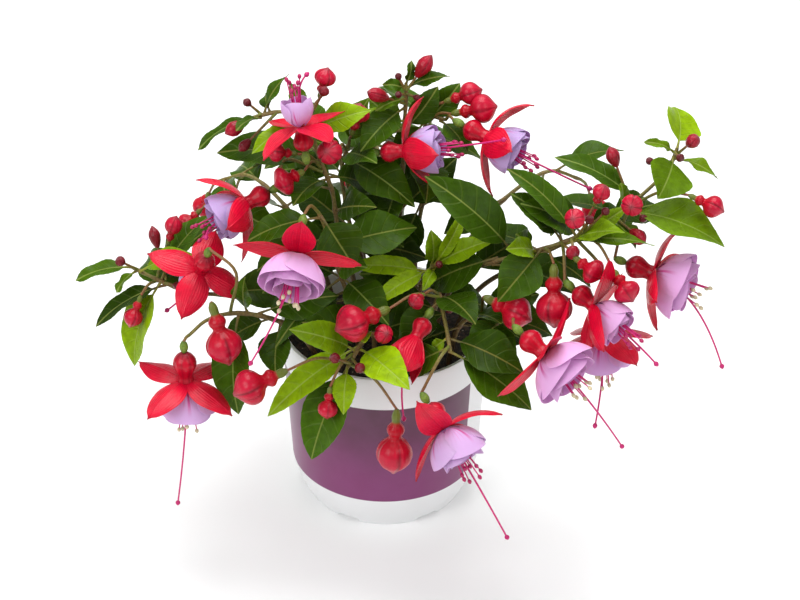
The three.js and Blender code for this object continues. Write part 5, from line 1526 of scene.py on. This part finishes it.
    def stalk_path(self, foot: np.ndarray, via: list, to: np.ndarray) -> np.ndarray:
        """The line of a bud's or bloom's stalk: from the stem, over its crest, to the ovary.

        Args:
            foot: Where it leaves the stem.
            via: The places it passes, if they are given.
            to: The ovary's foot.

        Returns:
            Places along it, one row each.
        """
        crest = (foot + to) / 2 + UP * 0.16 * np.linalg.norm(to - foot)
        middle = [np.array(p, float) for p in via] or [crest]
        return Route([foot, *middle, to]).spread(np.linspace(0, 1, 16))

    def bud_shells(self) -> tuple[list[Shell], list[Shell]]:
        """The buds. A grown one hangs from its stalk's end, and a small one stands on a straight stalk.

        Returns:
            The buds, and their stalks.
        """
        buds, stalks = [], []
        for item in self.all_of(Growth.BUD):
            grown = item.radius > BUD_SMALL_RADIUS
            roll = self.random.uniform(0, math.pi / 2)
            if grown:
                path, end, tip = self.stalk_path(item.foot, [], item.start), item.start, item.end
            else:
                length = float(np.linalg.norm(item.end - item.start))
                way = item.end - item.foot
                reach = max(float(np.linalg.norm(way)), length + 1.5)
                end, tip = item.foot + unit(way) * (reach - length), item.foot + unit(way) * reach
                path = item.foot + (end - item.foot) * np.linspace(-0.1, 1.1, 6)[:, None]
            buds.append(self.bud_form.shell(end, tip, item.radius, roll, grown))
            radii = np.linspace(0.95, 0.72 if grown else 0.62, len(path))
            stalks.append(path_tube(path, radii, self.stalk_tint(len(path), 0.8), 7))
        return buds, stalks

    def ovary_shells(self) -> list[Shell]:
        """The stalk and the green ovary of each bloom, which swells by 1.65 sin(pi d)^0.8 along it.

        Returns:
            Two shells for each bloom.
        """
        shells = []
        for item in self.all_of(Growth.BLOOM):
            bloom = BLOOMS[item.bloom]
            top = np.array(bloom.top, float)
            along = unit(np.array(bloom.mouth, float) - top)
            foot = top - along * OVARY_LENGTH
            path = self.stalk_path(item.foot, bloom.via, foot)
            radii = np.linspace(1.0, 0.8, len(path))
            shells.append(path_tube(path, radii, self.stalk_tint(len(path), 0.7), 8))
            d = np.linspace(0, 1, 14)
            swell = 0.75 + 1.65 * np.sin(math.pi * np.clip(d * 0.93 + 0.02, 0, 1)) ** 0.8
            body = foot + along * ((OVARY_LENGTH + 0.2) * d[:, None] - 0.4)
            pale = np.sin(math.pi * d)[:, None] * 0.6
            green = mixed(linear(self.ovary_dark), linear(self.ovary_pale), pale)
            shells.append(path_tube(body, swell, green, 16))
        return shells

    def build(self, finishes: Finishes) -> None:
        """Makes the shoot's pieces and puts them in its node's place.

        Args:
            finishes: The plant's materials.
        """
        node = f"shoot_{self.name}"
        corners = node_corners(node)
        blades, stalks = self.leaves(corners)
        buds, bud_stalks = self.bud_shells()
        settle(make_piece(f"leaves_{self.name}", blades, finishes.leaf), "foliage", node)
        woody = [*self.stem_shells(), *stalks, *bud_stalks, *self.ovary_shells()]
        settle(make_piece(f"stems_{self.name}", woody, finishes.bark), "foliage", node)
        if buds:
            settle(make_piece(f"buds_{self.name}", buds, finishes.waxy), "calyx", node)


# Blooms.


def curled(start: tuple, length: float, spread: float, curl: float, s: np.ndarray) -> tuple:
    """A line that leaves the axis at spread degrees and curls on by curl degrees over its length: with angles
    a and k in radians, distance out = o + L/k (cos a - cos(a + k s)) and ahead = h + L/k (sin(a + k s) - sin a).

    Args:
        start: The distances o and h that it starts at.
        length: Its length L.
        spread: Its first angle.
        curl: The change of angle.
        s: Shares of the length.

    Returns:
        The distance from the axis, the distance along it, and the angle there.
    """
    a = math.radians(spread)
    k = math.radians(1.0 if abs(curl) < 1 else curl)
    return (
        start[0] + length / k * (math.cos(a) - np.cos(a + k * s)),
        start[1] + length / k * (np.sin(a + k * s) - math.sin(a)),
        a + k * s,
    )


@dataclass
class CalyxForm:
    """The red tube and its four sepals."""

    rows: int = 28
    cols: int = 21
    rings: int = 34
    sides: int = 32
    lobes: int = 8  # soft ribs round the tube
    thickness: float = 0.75
    cup: float = -0.2  # bend of a sepal across its width, of the half width
    profile: tuple = ((0, 2.0), (0.03, 2.8), (0.1, 4.5), (0.22, 6.0), (0.35, 6.5), (0.48, 6.2), (0.6, 5.3),
                      (0.72, 4.4), (0.82, 4.1), (0.93, 4.35), (1.0, 4.65), (1.0, 3.7), (0.86, 3.2))
    tube_red: str = "#BA0426"
    sepal_red: str = "#D40630"
    tip: str = "#9C2634"

    def tube(self, top: np.ndarray, mouth: np.ndarray, size: float, roll: float) -> Shell:
        """A turned body, and back inside over its mouth, of radius r(d) (1 + 0.022 sin(pi d) cos 8(a - roll)).

        Args:
            top: The tube's start, at the ovary.
            mouth: Its end.
            size: Its size, of a full one.
            roll: The first rib's turn in radians.

        Returns:
            The shell.
        """
        d, r = np.array(self.profile).T
        k = np.linspace(0, len(d) - 1, self.rings)
        along, ring = np.interp(k, np.arange(len(d)), d), np.interp(k, np.arange(len(d)), r) * size
        a = turns(self.sides)
        shade = smooth(0.0, 0.2, along)
        rib = np.cos(self.lobes * (a - roll))[None, :]
        lobes = 1 + 0.022 * rib * np.sin(math.pi * along)[:, None]
        grid = top + (mouth - top) * along[:, None, None] + Frame.of(mouth - top).across(a)[None] * (
            ring[:, None] * lobes
        )[..., None]
        tint = mixed(linear(self.tip), linear(self.tube_red), shade[:, None, None])
        groove = (0.5 - 0.5 * rib) ** 6 * 0.5
        return tube_shell(grid, tint, {"seam": groove * np.ones((len(k), 1)), "under": 0.0})

    def sepal(self, bloom: BloomPlan, mouth: np.ndarray, axis: Frame, k: int, size: float,
              draw: np.random.Generator) -> Shell:
        """One sepal: P(s, u) = mouth + out (r(s) + cos a lift) + along (d(s) - sin a lift) + across u half(s),
        with r, d and a from curled(), half(s) = width/2 (0.5 + 0.5 sin(pi s^0.8) - 0.42 s^3), drawn in at the
        point, and lift = half (cup u^2 + 0.05 (1 - |u|)), a slow roll of the rim and a crease down the middle.

        Args:
            bloom: The flower.
            mouth: The end of its tube.
            axis: The tube's frame.
            k: The sepal's number.
            size: The tube's size, of a full one.
            draw: Random numbers for its own small differences.

        Returns:
            The shell.
        """
        turn = math.radians(bloom.roll + 90 * k)
        out, across = axis.across(turn), axis.across(turn + math.pi / 2)
        s = np.linspace(-0.05, 1, self.rows)[:, None]
        u = np.linspace(-1, 1, self.cols)[None, :]
        held = np.clip(s, 0, 1)
        start = (MOUTH_RADIUS * size - BLADE / 2, 0.0)
        r, d, a = curled(start, SEPAL_LENGTH * bloom.size, bloom.spread[k], bloom.curl[k], s)
        full = 0.5 + 0.5 * np.sin(math.pi * held**0.8) - 0.42 * held**3
        point = 1 - smooth(0.86, 1.0, s) * 0.75
        half = np.minimum(full * point * (SEPAL_WIDTH + 1.2) / 2, np.maximum(r, 1.2) * 1.02)
        roll = 0.5 * np.sin(draw.uniform(5, 8) * s + draw.uniform(0, 6)) * u * np.abs(u) * smooth(0.2, 0.7, s)
        crease = 0.32 * np.exp(-((u / 0.09) ** 2)) * smooth(0.02, 0.2, s) * smooth(1.0, 0.85, s)
        lift = half * (self.cup * u * u + 0.05 * (1 - np.abs(u))) + roll + crease
        along = d - np.sin(a) * lift
        grid = (
            mouth + out * (r + np.cos(a) * lift)[..., None] + axis.along * along[..., None]
            + across * (u * half)[..., None]
        )
        thin = self.thickness / 2 * (1 - 0.5 * u**4) * (1 - 0.5 * held)
        red = linear(self.sepal_red) * draw.uniform(0.92, 1.08)
        tint = mixed(red, linear(self.tip), (smooth(0.9, 1.0, s) * 0.8 + 0 * u)[..., None])
        return blade_shell(grid, thin, tint, {"seam": 0.3 * np.exp(-((u / 0.07) ** 2)) * (1 - 0.8 * held)})

    def shells(self, bloom: BloomPlan, axis: Frame, draw: np.random.Generator) -> list[Shell]:
        """The tube and its sepals.

        Args:
            bloom: The flower.
            axis: The tube's frame.
            draw: Random numbers for the sepals.

        Returns:
            The shells.
        """
        top, mouth = np.array(bloom.top, float), np.array(bloom.mouth, float)
        size = min(1.0, float(np.linalg.norm(top - mouth)) / TUBE_LENGTH)
        sepals = [self.sepal(bloom, mouth, axis, k, size, draw) for k in range(4)]
        return [self.tube(top, mouth, size, math.radians(bloom.roll)), *sepals]


@dataclass(frozen=True)
class Whorl:
    """A layer of four petals. Angles are in degrees."""

    turn: float  # the first petal's, about the axis
    out: float  # distance of a petal's foot from the axis
    ahead: float  # distance of a petal's foot past the mouth
    length: float  # of a full petal's
    base: float  # angle from the axis in a closed flower
    gain: float  # what opening adds to it
    curl: float
    wrap: float  # half the angle about the axis that a petal takes up
    shade: float  # darkening of the petals' colour: partly the inner layers' own deeper colour, partly painted shade inside the skirt


OUTER = Whorl(45, 2.6, 0.7, 1.02, 25, 37, -50, 72, 1.0)
MIDDLE = Whorl(0, 2.1, 0.9, 1.04, 19, 24, -34, 70, 0.9)
INNER = Whorl(90, 1.6, 1.3, 0.94, 8, 13, -8, 70, 0.78)


@dataclass
class CorollaForm:
    """The skirt of lilac petals, each wrapped partly round the axis with one edge over its neighbour."""

    rows: int = 22
    cols: int = 19
    thickness: float = 0.42
    # The petals' deeper mauve at their foot: partly their own colour, partly painted shade under the sepals.
    deep_painted_shade: str = "#A860B4"

    def petal(self, bloom: BloomPlan, colour: np.ndarray, axis: Frame, whorl: Whorl, k: int,
              draw: np.random.Generator) -> Shell:
        """One petal: P(s, u) at distance r and turn f about the axis, with s' = s (1 - 0.34 (1 -
        sqrt(1 - 0.97 u^2))), a round rim, r = out(s') + u + ruffle + puff, f = turn + u wrap w(s),
        w = 0.22 + 0.78 sin(0.6 pi s)^0.8, puff = 1.3 sin(pi s) (1 - u^2), and ahead(s') along it.

        Args:
            bloom: The flower.
            colour: The petals' colour.
            axis: The tube's frame.
            whorl: The petal's layer.
            k: Its number in the layer.
            draw: Random numbers for its own small differences.

        Returns:
            The shell.
        """
        start = np.array(bloom.mouth, float) + axis.along * 0.3
        size = bloom.size * (0.6 + 0.4 * min(1.15, bloom.open))
        s = np.linspace(0, 1, self.rows)[:, None]
        u = np.linspace(-1, 1, self.cols)[None, :]
        length = PETAL_LENGTH * size * whorl.length * draw.uniform(0.95, 1.03)
        bend = s * (1 - 0.34 * (1 - np.sqrt(1 - 0.97 * u * u)))
        spread = whorl.base + whorl.gain * bloom.open + draw.uniform(-3, 3)
        r, d, a = curled((whorl.out, whorl.ahead), length, spread, whorl.curl, bend)
        wave = np.sin(draw.uniform(1.6, 3.0) * u * math.pi / 2 + draw.uniform(0, 6)) * s**2
        ruffle = draw.uniform(0.3, 0.7) * wave * size + 0.2 * np.sin(7 * u + draw.uniform(0, 6)) * s**5
        wrap = math.radians(whorl.wrap) * (0.22 + 0.78 * np.sin(0.6 * math.pi * s) ** 0.8)
        wrap = wrap * draw.uniform(0.94, 1.06)
        turn = math.radians(bloom.roll + whorl.turn + 90 * k + draw.uniform(-4, 4)) + u * wrap
        puff = 1.3 * size * np.sin(math.pi * s) * (1 - u * u)
        away = r + 1.0 * u * smooth(0.05, 0.4, s) + np.cos(a) * (ruffle + puff)
        ahead = d - np.sin(a) * (ruffle + puff)
        grid = start + axis.across(turn) * away[..., None] + axis.along * ahead[..., None]
        thin = self.thickness / 2 * (1 - 0.5 * s * s)
        # Lighter towards the rim and edges, deeper mauve at the foot: partly the petal's own colour, partly
        # painted shade under the sepals.
        bright = 0.93 + 0.14 * (s * s + 0.5 * np.abs(u) ** 3)
        tint = colour * draw.uniform(0.94, 1.05) * bright[..., None]
        tint = mixed(tint, linear(self.deep_painted_shade), (0.6 * (1 - smooth(0.0, 0.4, s)) + 0 * u)[..., None])
        return blade_shell(grid, thin, tint)

    def shells(self, bloom: BloomPlan, colour: np.ndarray, axis: Frame,
               draw: np.random.Generator) -> list[Shell]:
        """The layers of petals, three on a double flower and one on a single flower.

        Args:
            bloom: The flower.
            colour: Its petals' colour.
            axis: The tube's frame.
            draw: Random numbers for the petals.

        Returns:
            One shell for each petal.
        """
        layers = [OUTER] if bloom.single else [OUTER, MIDDLE, INNER]
        # Inner layers darker: partly their own colour, partly painted shade inside the skirt.
        return [self.petal(bloom, colour * w.shade, axis, w, k, draw) for w in layers for k in range(4)]


@dataclass
class StamenForm:
    """The filaments with their anthers, and the long style with its stigma."""

    filaments: int = 8
    magenta: str = "#CC1470"
    ripe: str = "#D8C8A4"
    unripe: str = "#B01058"

    def anther(self, at: np.ndarray, way: np.ndarray, colour: np.ndarray) -> Shell:
        """A rounded grain on its filament's end, of radius 0.12 + sin(pi v)^0.7.

        Args:
            at: The filament's end.
            way: The filament's direction there.
            colour: The grain's colour.

        Returns:
            The shell.
        """
        v = np.linspace(0, 1, 9)
        radii = 0.12 + 1.0 * np.sin(math.pi * v) ** 0.7
        return path_tube(at + way * (v[:, None] * 3.0 - 1.4), radii, colour, 10)

    def shells(self, bloom: BloomPlan, ripe: bool, axis: Frame, draw: np.random.Generator) -> list[Shell]:
        """Filaments leaning out of the flower round its axis, on slow curves, and the style on the curve
        (1-t)^2 start + 2 t (1-t) straight + t^2 end.

        Args:
            bloom: The flower.
            ripe: Whether the anthers have opened and turned pale.
            axis: The tube's frame.
            draw: Random numbers for each filament's own reach.

        Returns:
            The shells.
        """
        start = np.array(bloom.mouth, float) + axis.along * ((0.7 if bloom.single else 1.3) + 0.6)
        end = np.array(bloom.style, float)
        bend = end - start
        turn = math.atan2(float(bend @ axis.over), float(bend @ axis.side))
        lean = math.radians(2 + 9 * bloom.open)
        red = linear(self.magenta)
        shells = []
        for i in range(self.filaments):
            out = axis.across(turn + math.radians(360 / self.filaments * i + 22 + draw.uniform(-8, 8)))
            reach = FILAMENT_LENGTH * bloom.size * (0.78 + 0.09 * (i % 4)) * draw.uniform(0.96, 1.02)
            way = axis.along * math.cos(lean) + out * math.sin(lean) * draw.uniform(0.7, 1.0)
            t = np.linspace(0, 1, 12)[:, None]
            first = start + axis.along * 0.6 + out * 0.9
            path = first + way * reach * t + (unit(bend) * 1.6 - UP * 0.9) * t * t
            shells.append(path_tube(path, np.linspace(0.5, 0.34, 12), red, 7))
            grain = linear(self.ripe) * draw.uniform(0.75, 1.1) if ripe else linear(self.unripe)
            shells.append(self.anther(path[-1], unit(path[-1] - path[-2]), grain))
        t = np.linspace(0, 1, 30)[:, None]
        straight = start + axis.along * 26 * bloom.size
        path = (1 - t) ** 2 * start + 2 * t * (1 - t) * straight + t * t * end
        shells.append(path_tube(path, np.linspace(0.62, 0.5, 30), red, 8))
        v = np.linspace(0, 1, 10)
        ahead = unit(path[-1] - path[-2])
        knob = path[-1] + ahead * (v[:, None] * 3.2 - 2.6)
        radii = 0.45 + 0.95 * np.sin(math.pi * np.minimum(v * 1.05, 1)) ** 0.8
        shells.append(path_tube(knob, radii, red * 0.9, 10))
        return shells


class Tint(Enum):
    """The petals' colours, from the pinkest of the open flowers to the most violet."""

    PINK = "#D8A0D4"
    LILAC = "#CCA4D6"
    VIOLET = "#B89AD0"


@dataclass
class Bloom:
    """One open flower: calyx, corolla and stamens. Its name starts its own random numbers."""

    TINTS = {
        "main": Tint.PINK, "right_edge": Tint.PINK, "lower_right": Tint.PINK, "right_upper": Tint.PINK,
        "upper_left": Tint.VIOLET, "top_centre": Tint.VIOLET, "top_right": Tint.VIOLET,
    }
    RIPE = ("main", "right_edge", "lower_right", "right_lower", "lower_left")

    name: str
    plan: BloomPlan

    def __post_init__(self) -> None:
        """Lays out the tube's frame."""
        self.axis = Frame.of(np.array(self.plan.mouth, float) - np.array(self.plan.top, float))
        self.random = np.random.default_rng(list(("bloom" + self.name).encode()))

    def build(self, finishes: Finishes) -> None:
        """Makes the flower's three pieces and puts them in their nodes' places.

        Args:
            finishes: The plant's materials.
        """
        colour = linear(self.TINTS.get(self.name, Tint.LILAC).value)
        ripe = self.name in self.RIPE
        kinds = {
            "calyx": (CalyxForm().shells(self.plan, self.axis, self.random), finishes.waxy),
            "corolla": (CorollaForm().shells(self.plan, colour, self.axis, self.random), finishes.petal),
            "stamens": (StamenForm().shells(self.plan, ripe, self.axis, self.random), finishes.thread),
        }
        for kind, (shells, finish) in kinds.items():
            settle(make_piece(f"{kind}_{self.name}", shells, finish), kind, f"bloom_{self.name}_{kind}")


def node_corners(node: str) -> np.ndarray:
    """The corners of a CAD node in millimetres.

    Args:
        node: The node's name.

    Returns:
        One row for each corner.
    """
    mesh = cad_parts[node].data
    flat = np.empty(len(mesh.vertices) * 3, np.float32)
    mesh.vertices.foreach_get("co", flat)
    return np.unique(np.round(flat.reshape(-1, 3).astype(float) / MM, 3), axis=0)


# Pot and soil.


@dataclass
class Pot:
    """The moulded pot: a tapering wall, a shoulder and a drawn-in foot with shallow notches."""

    sides: int = 240
    notch_height: float = 3.4
    notch_width: float = 12.0
    notch_turn: float = 2.0  # the first notch's, in degrees from +X
    notch_radius: float = 46.0  # where the width is measured
    foot_edge: tuple = (38.9, 4.0)  # the foot's edge is beyond this radius and below this height
    film_radius: float = 50.0  # the outer wall that can carry the film is beyond this radius
    feet: int = 6
    step: float = 3.0  # longest face along the profile
    sharp: float = 28.0  # edges over this many degrees stay crisp
    outside: tuple = ((0, 2), (39, 2), (39, 0), (45.4, 0), (46.3, 0.6), (48.8, 5.5), (51.4, 11), (53.3, 16.6),
                      (54.6, 21.6), (55.1, 24.5), (57.5, 68.5), (59.85, 112.6), (59.6, 113.8), (59.0, 114),
                      (58.2, 114), (57.7, 113.7), (57.5, 112.8))
    inside: tuple = ((53.2, 23), (49.8, 12), (44.2, 5), (0, 5))

    def build(self, finish: bpy.types.Material) -> None:
        """Turns the profile about Z, each stretch in short steps, and lifts the foot's edge at the notches:
        z = max(z, height n(a)), where n is 1 over each notch and falls to 0 beside it.

        Args:
            finish: The pot's material.
        """
        corners = np.array(self.outside + self.inside, float)
        gaps = np.linalg.norm(np.diff(corners, axis=0), axis=1)
        counts = np.maximum(1, np.ceil(gaps / self.step)).astype(int)
        stretches = [np.linspace(i, i + 1, n, endpoint=False) for i, n in enumerate(counts)]
        at = np.concatenate([*stretches, [len(gaps)]])
        r = np.interp(at, np.arange(len(corners)), corners[:, 0])
        z = np.interp(at, np.arange(len(corners)), corners[:, 1])
        r[0] = r[-1] = 0.4
        a = turns(self.sides)
        part = FULL_TURN / self.feet
        beside = (a - math.radians(self.notch_turn) + part / 2) % part - part / 2
        half = self.notch_width / 2
        notch = self.notch_height * (1 - smooth(half - 1.5, half + 2.0, np.abs(beside) * self.notch_radius))
        outer = at < len(self.outside) - 1
        low = (outer & (r > self.foot_edge[0]) & (z < self.foot_edge[1])).astype(float)[:, None]
        height = np.maximum(z[:, None], notch[None, :] * low)
        grid = np.stack([r[:, None] * np.cos(a), r[:, None] * np.sin(a), height], axis=-1)
        wall = (outer & (r > self.film_radius)).astype(float)[:, None]
        shell = tube_shell(grid, np.ones(3), {"outside": wall})
        settle(make_piece("moulded_pot", [shell], finish, self.sharp), "pot", "pot")


@dataclass
class Soil:
    """The compost in the pot, with a low lumpy cone for its top."""

    edge: float = 99.0
    top: float = 103.0
    rings: int = 70
    sides: int = 150
    side_profile: tuple = ((0, 5.5), (43.3, 5.5), (48.9, 12), (52.3, 23))
    edge_radius: float = 55.8
    waves: tuple = ((0.8, 0.35, 0.4), (0.5, 0.83, 1.9), (0.35, 1.7, 3.1), (0.22, 3.3, 5.2))
    low: float = 0.4  # the lumps' middle, under the cone
    sharp: float = 80.0

    def build(self, finish: bpy.types.Material) -> None:
        """A turned body. Its top is a cone with lumps: the sum of h sin(f x + p) sin(f y + 2.1 p).

        Args:
            finish: The soil's material.
        """
        a = turns(self.sides)
        under_r, under_z = np.array(self.side_profile, float).T
        r = np.concatenate([under_r, np.linspace(self.edge_radius, 0.3, self.rings)])
        z = np.concatenate([under_z, self.edge + (self.top - self.edge) * np.linspace(0, 1, self.rings)])
        r[0] = 0.3
        x, y = r[:, None] * np.cos(a), r[:, None] * np.sin(a)
        lumps = sum(h * np.sin(f * x + p) * np.sin(f * y + 2.1 * p) for h, f, p in self.waves)
        upper = smooth(self.edge_radius, self.edge_radius - 4, r)[:, None] * (z > 50)[:, None]
        grid = np.stack([x, y, z[:, None] + lumps * upper - self.low * upper], axis=-1)
        shell = tube_shell(grid, np.ones(3))
        settle(make_piece("peat_soil", [shell], finish, self.sharp), "soil", "soil")


@dataclass
class Finishes:
    """The materials that several pieces share."""

    leaf: bpy.types.Material
    bark: bpy.types.Material
    waxy: bpy.types.Material
    petal: bpy.types.Material
    thread: bpy.types.Material


@dataclass
class Studio:
    """A white table under large soft lamps, and the camera a little above the plant."""

    target: tuple = (8.7, 0.0, 127.5)
    distance: float = 1300.0
    rise: float = 33.7  # degrees above the table
    focal_px: float = 2273.0
    image_px: float = 800.0
    sensor: float = 36.0
    floor_size: float = 12.0  # metres, as are the lamps' places
    paper: str = "#F1F2F2"
    paper_glow: float = 0.11
    lit: tuple = (0.0, 0.0, 0.15)
    surround: float = 0.38
    lamps: tuple = (  # place in metres, width, power
        ((0.02, 0.4, 1.55), 1.2, 25.0),
        ((0.9, -0.8, 1.1), 0.8, 6.0),
        ((-0.9, -0.9, 1.0), 0.8, 10.0),
    )

    def camera(self) -> None:
        """Stands the camera at the photograph's angle, aimed at the target."""
        rise = math.radians(self.rise)
        eye = np.array(self.target) + self.distance * np.array([0, -math.cos(rise), math.sin(rise)])
        data = bpy.data.cameras.new("camera")
        data.sensor_width = self.sensor
        data.lens = self.focal_px / self.image_px * self.sensor
        made = bpy.data.objects.new("camera", data)
        made.location = eye * MM
        made.rotation_euler = (math.pi / 2 - rise, 0, 0)
        bpy.context.scene.collection.objects.link(made)
        bpy.context.scene.camera = made

    def floor(self) -> None:
        """A plain white floor."""
        h = self.floor_size / 2
        mesh = bpy.data.meshes.new("floor")
        mesh.from_pydata([(-h, -h, 0), (h, -h, 0), (h, h, 0), (-h, h, 0)], [], [(0, 1, 2, 3)])
        material, _, dress = begin("white_paper")
        dress({
            "Base Color": rgba(self.paper),
            "Emission Color": (1.0, 1.0, 1.0, 1.0),
            "Emission Strength": self.paper_glow,
            "Roughness": 0.9,
            "Specular IOR Level": 0.1,
        })
        mesh.materials.append(material)
        made = bpy.data.objects.new("floor", mesh)
        bpy.context.scene.collection.objects.link(made)

    def light(self) -> None:
        """Soft square lamps aimed at the plant, and an even pale surround."""
        for i, (place, width, power) in enumerate(self.lamps):
            data = bpy.data.lights.new(f"lamp_{i}", "AREA")
            data.size = width
            data.energy = power
            made = bpy.data.objects.new(f"lamp_{i}", data)
            made.location = place
            made.rotation_euler = aimed(np.array(self.lit) - np.array(place))
            bpy.context.scene.collection.objects.link(made)
        world = bpy.data.worlds.new("surround")
        world.use_nodes = True
        sky = world.node_tree.nodes["Background"]
        feed(world.node_tree, sky, {"Color": (1.0, 1.0, 1.0, 1.0), "Strength": self.surround})
        bpy.context.scene.world = world
        bpy.context.scene.view_settings.view_transform = "Standard"


def aimed(way: np.ndarray) -> tuple:
    """The Euler turns that aim a lamp's -Z along a way: tilt from straight down, then heading."""
    flat = math.hypot(way[0], way[1])
    return (math.atan2(flat, -way[2]), 0.0, math.atan2(-way[0], way[1]))


def main() -> None:
    """Builds the plant from the pot up, then the studio."""
    logging.basicConfig(level=logging.INFO, format="%(message)s", stream=sys.stdout)
    Pot().build(MouldedPolypropylene().material())
    Soil().build(PeatCompost().material())
    finishes = Finishes(*(skin().material() for skin in (LeafSkin, Bark, WaxySkin, PetalSkin, ThreadSkin)))
    draw = Draw(SEED)
    for name, plans in SHOOTS.items():
        Shoot(name, plans, draw).build(finishes)
    for name, plan in BLOOMS.items():
        Bloom(name, plan).build(finishes)
    studio = Studio()
    studio.camera()
    studio.floor()
    studio.light()


if __name__ == "__main__":
    main()
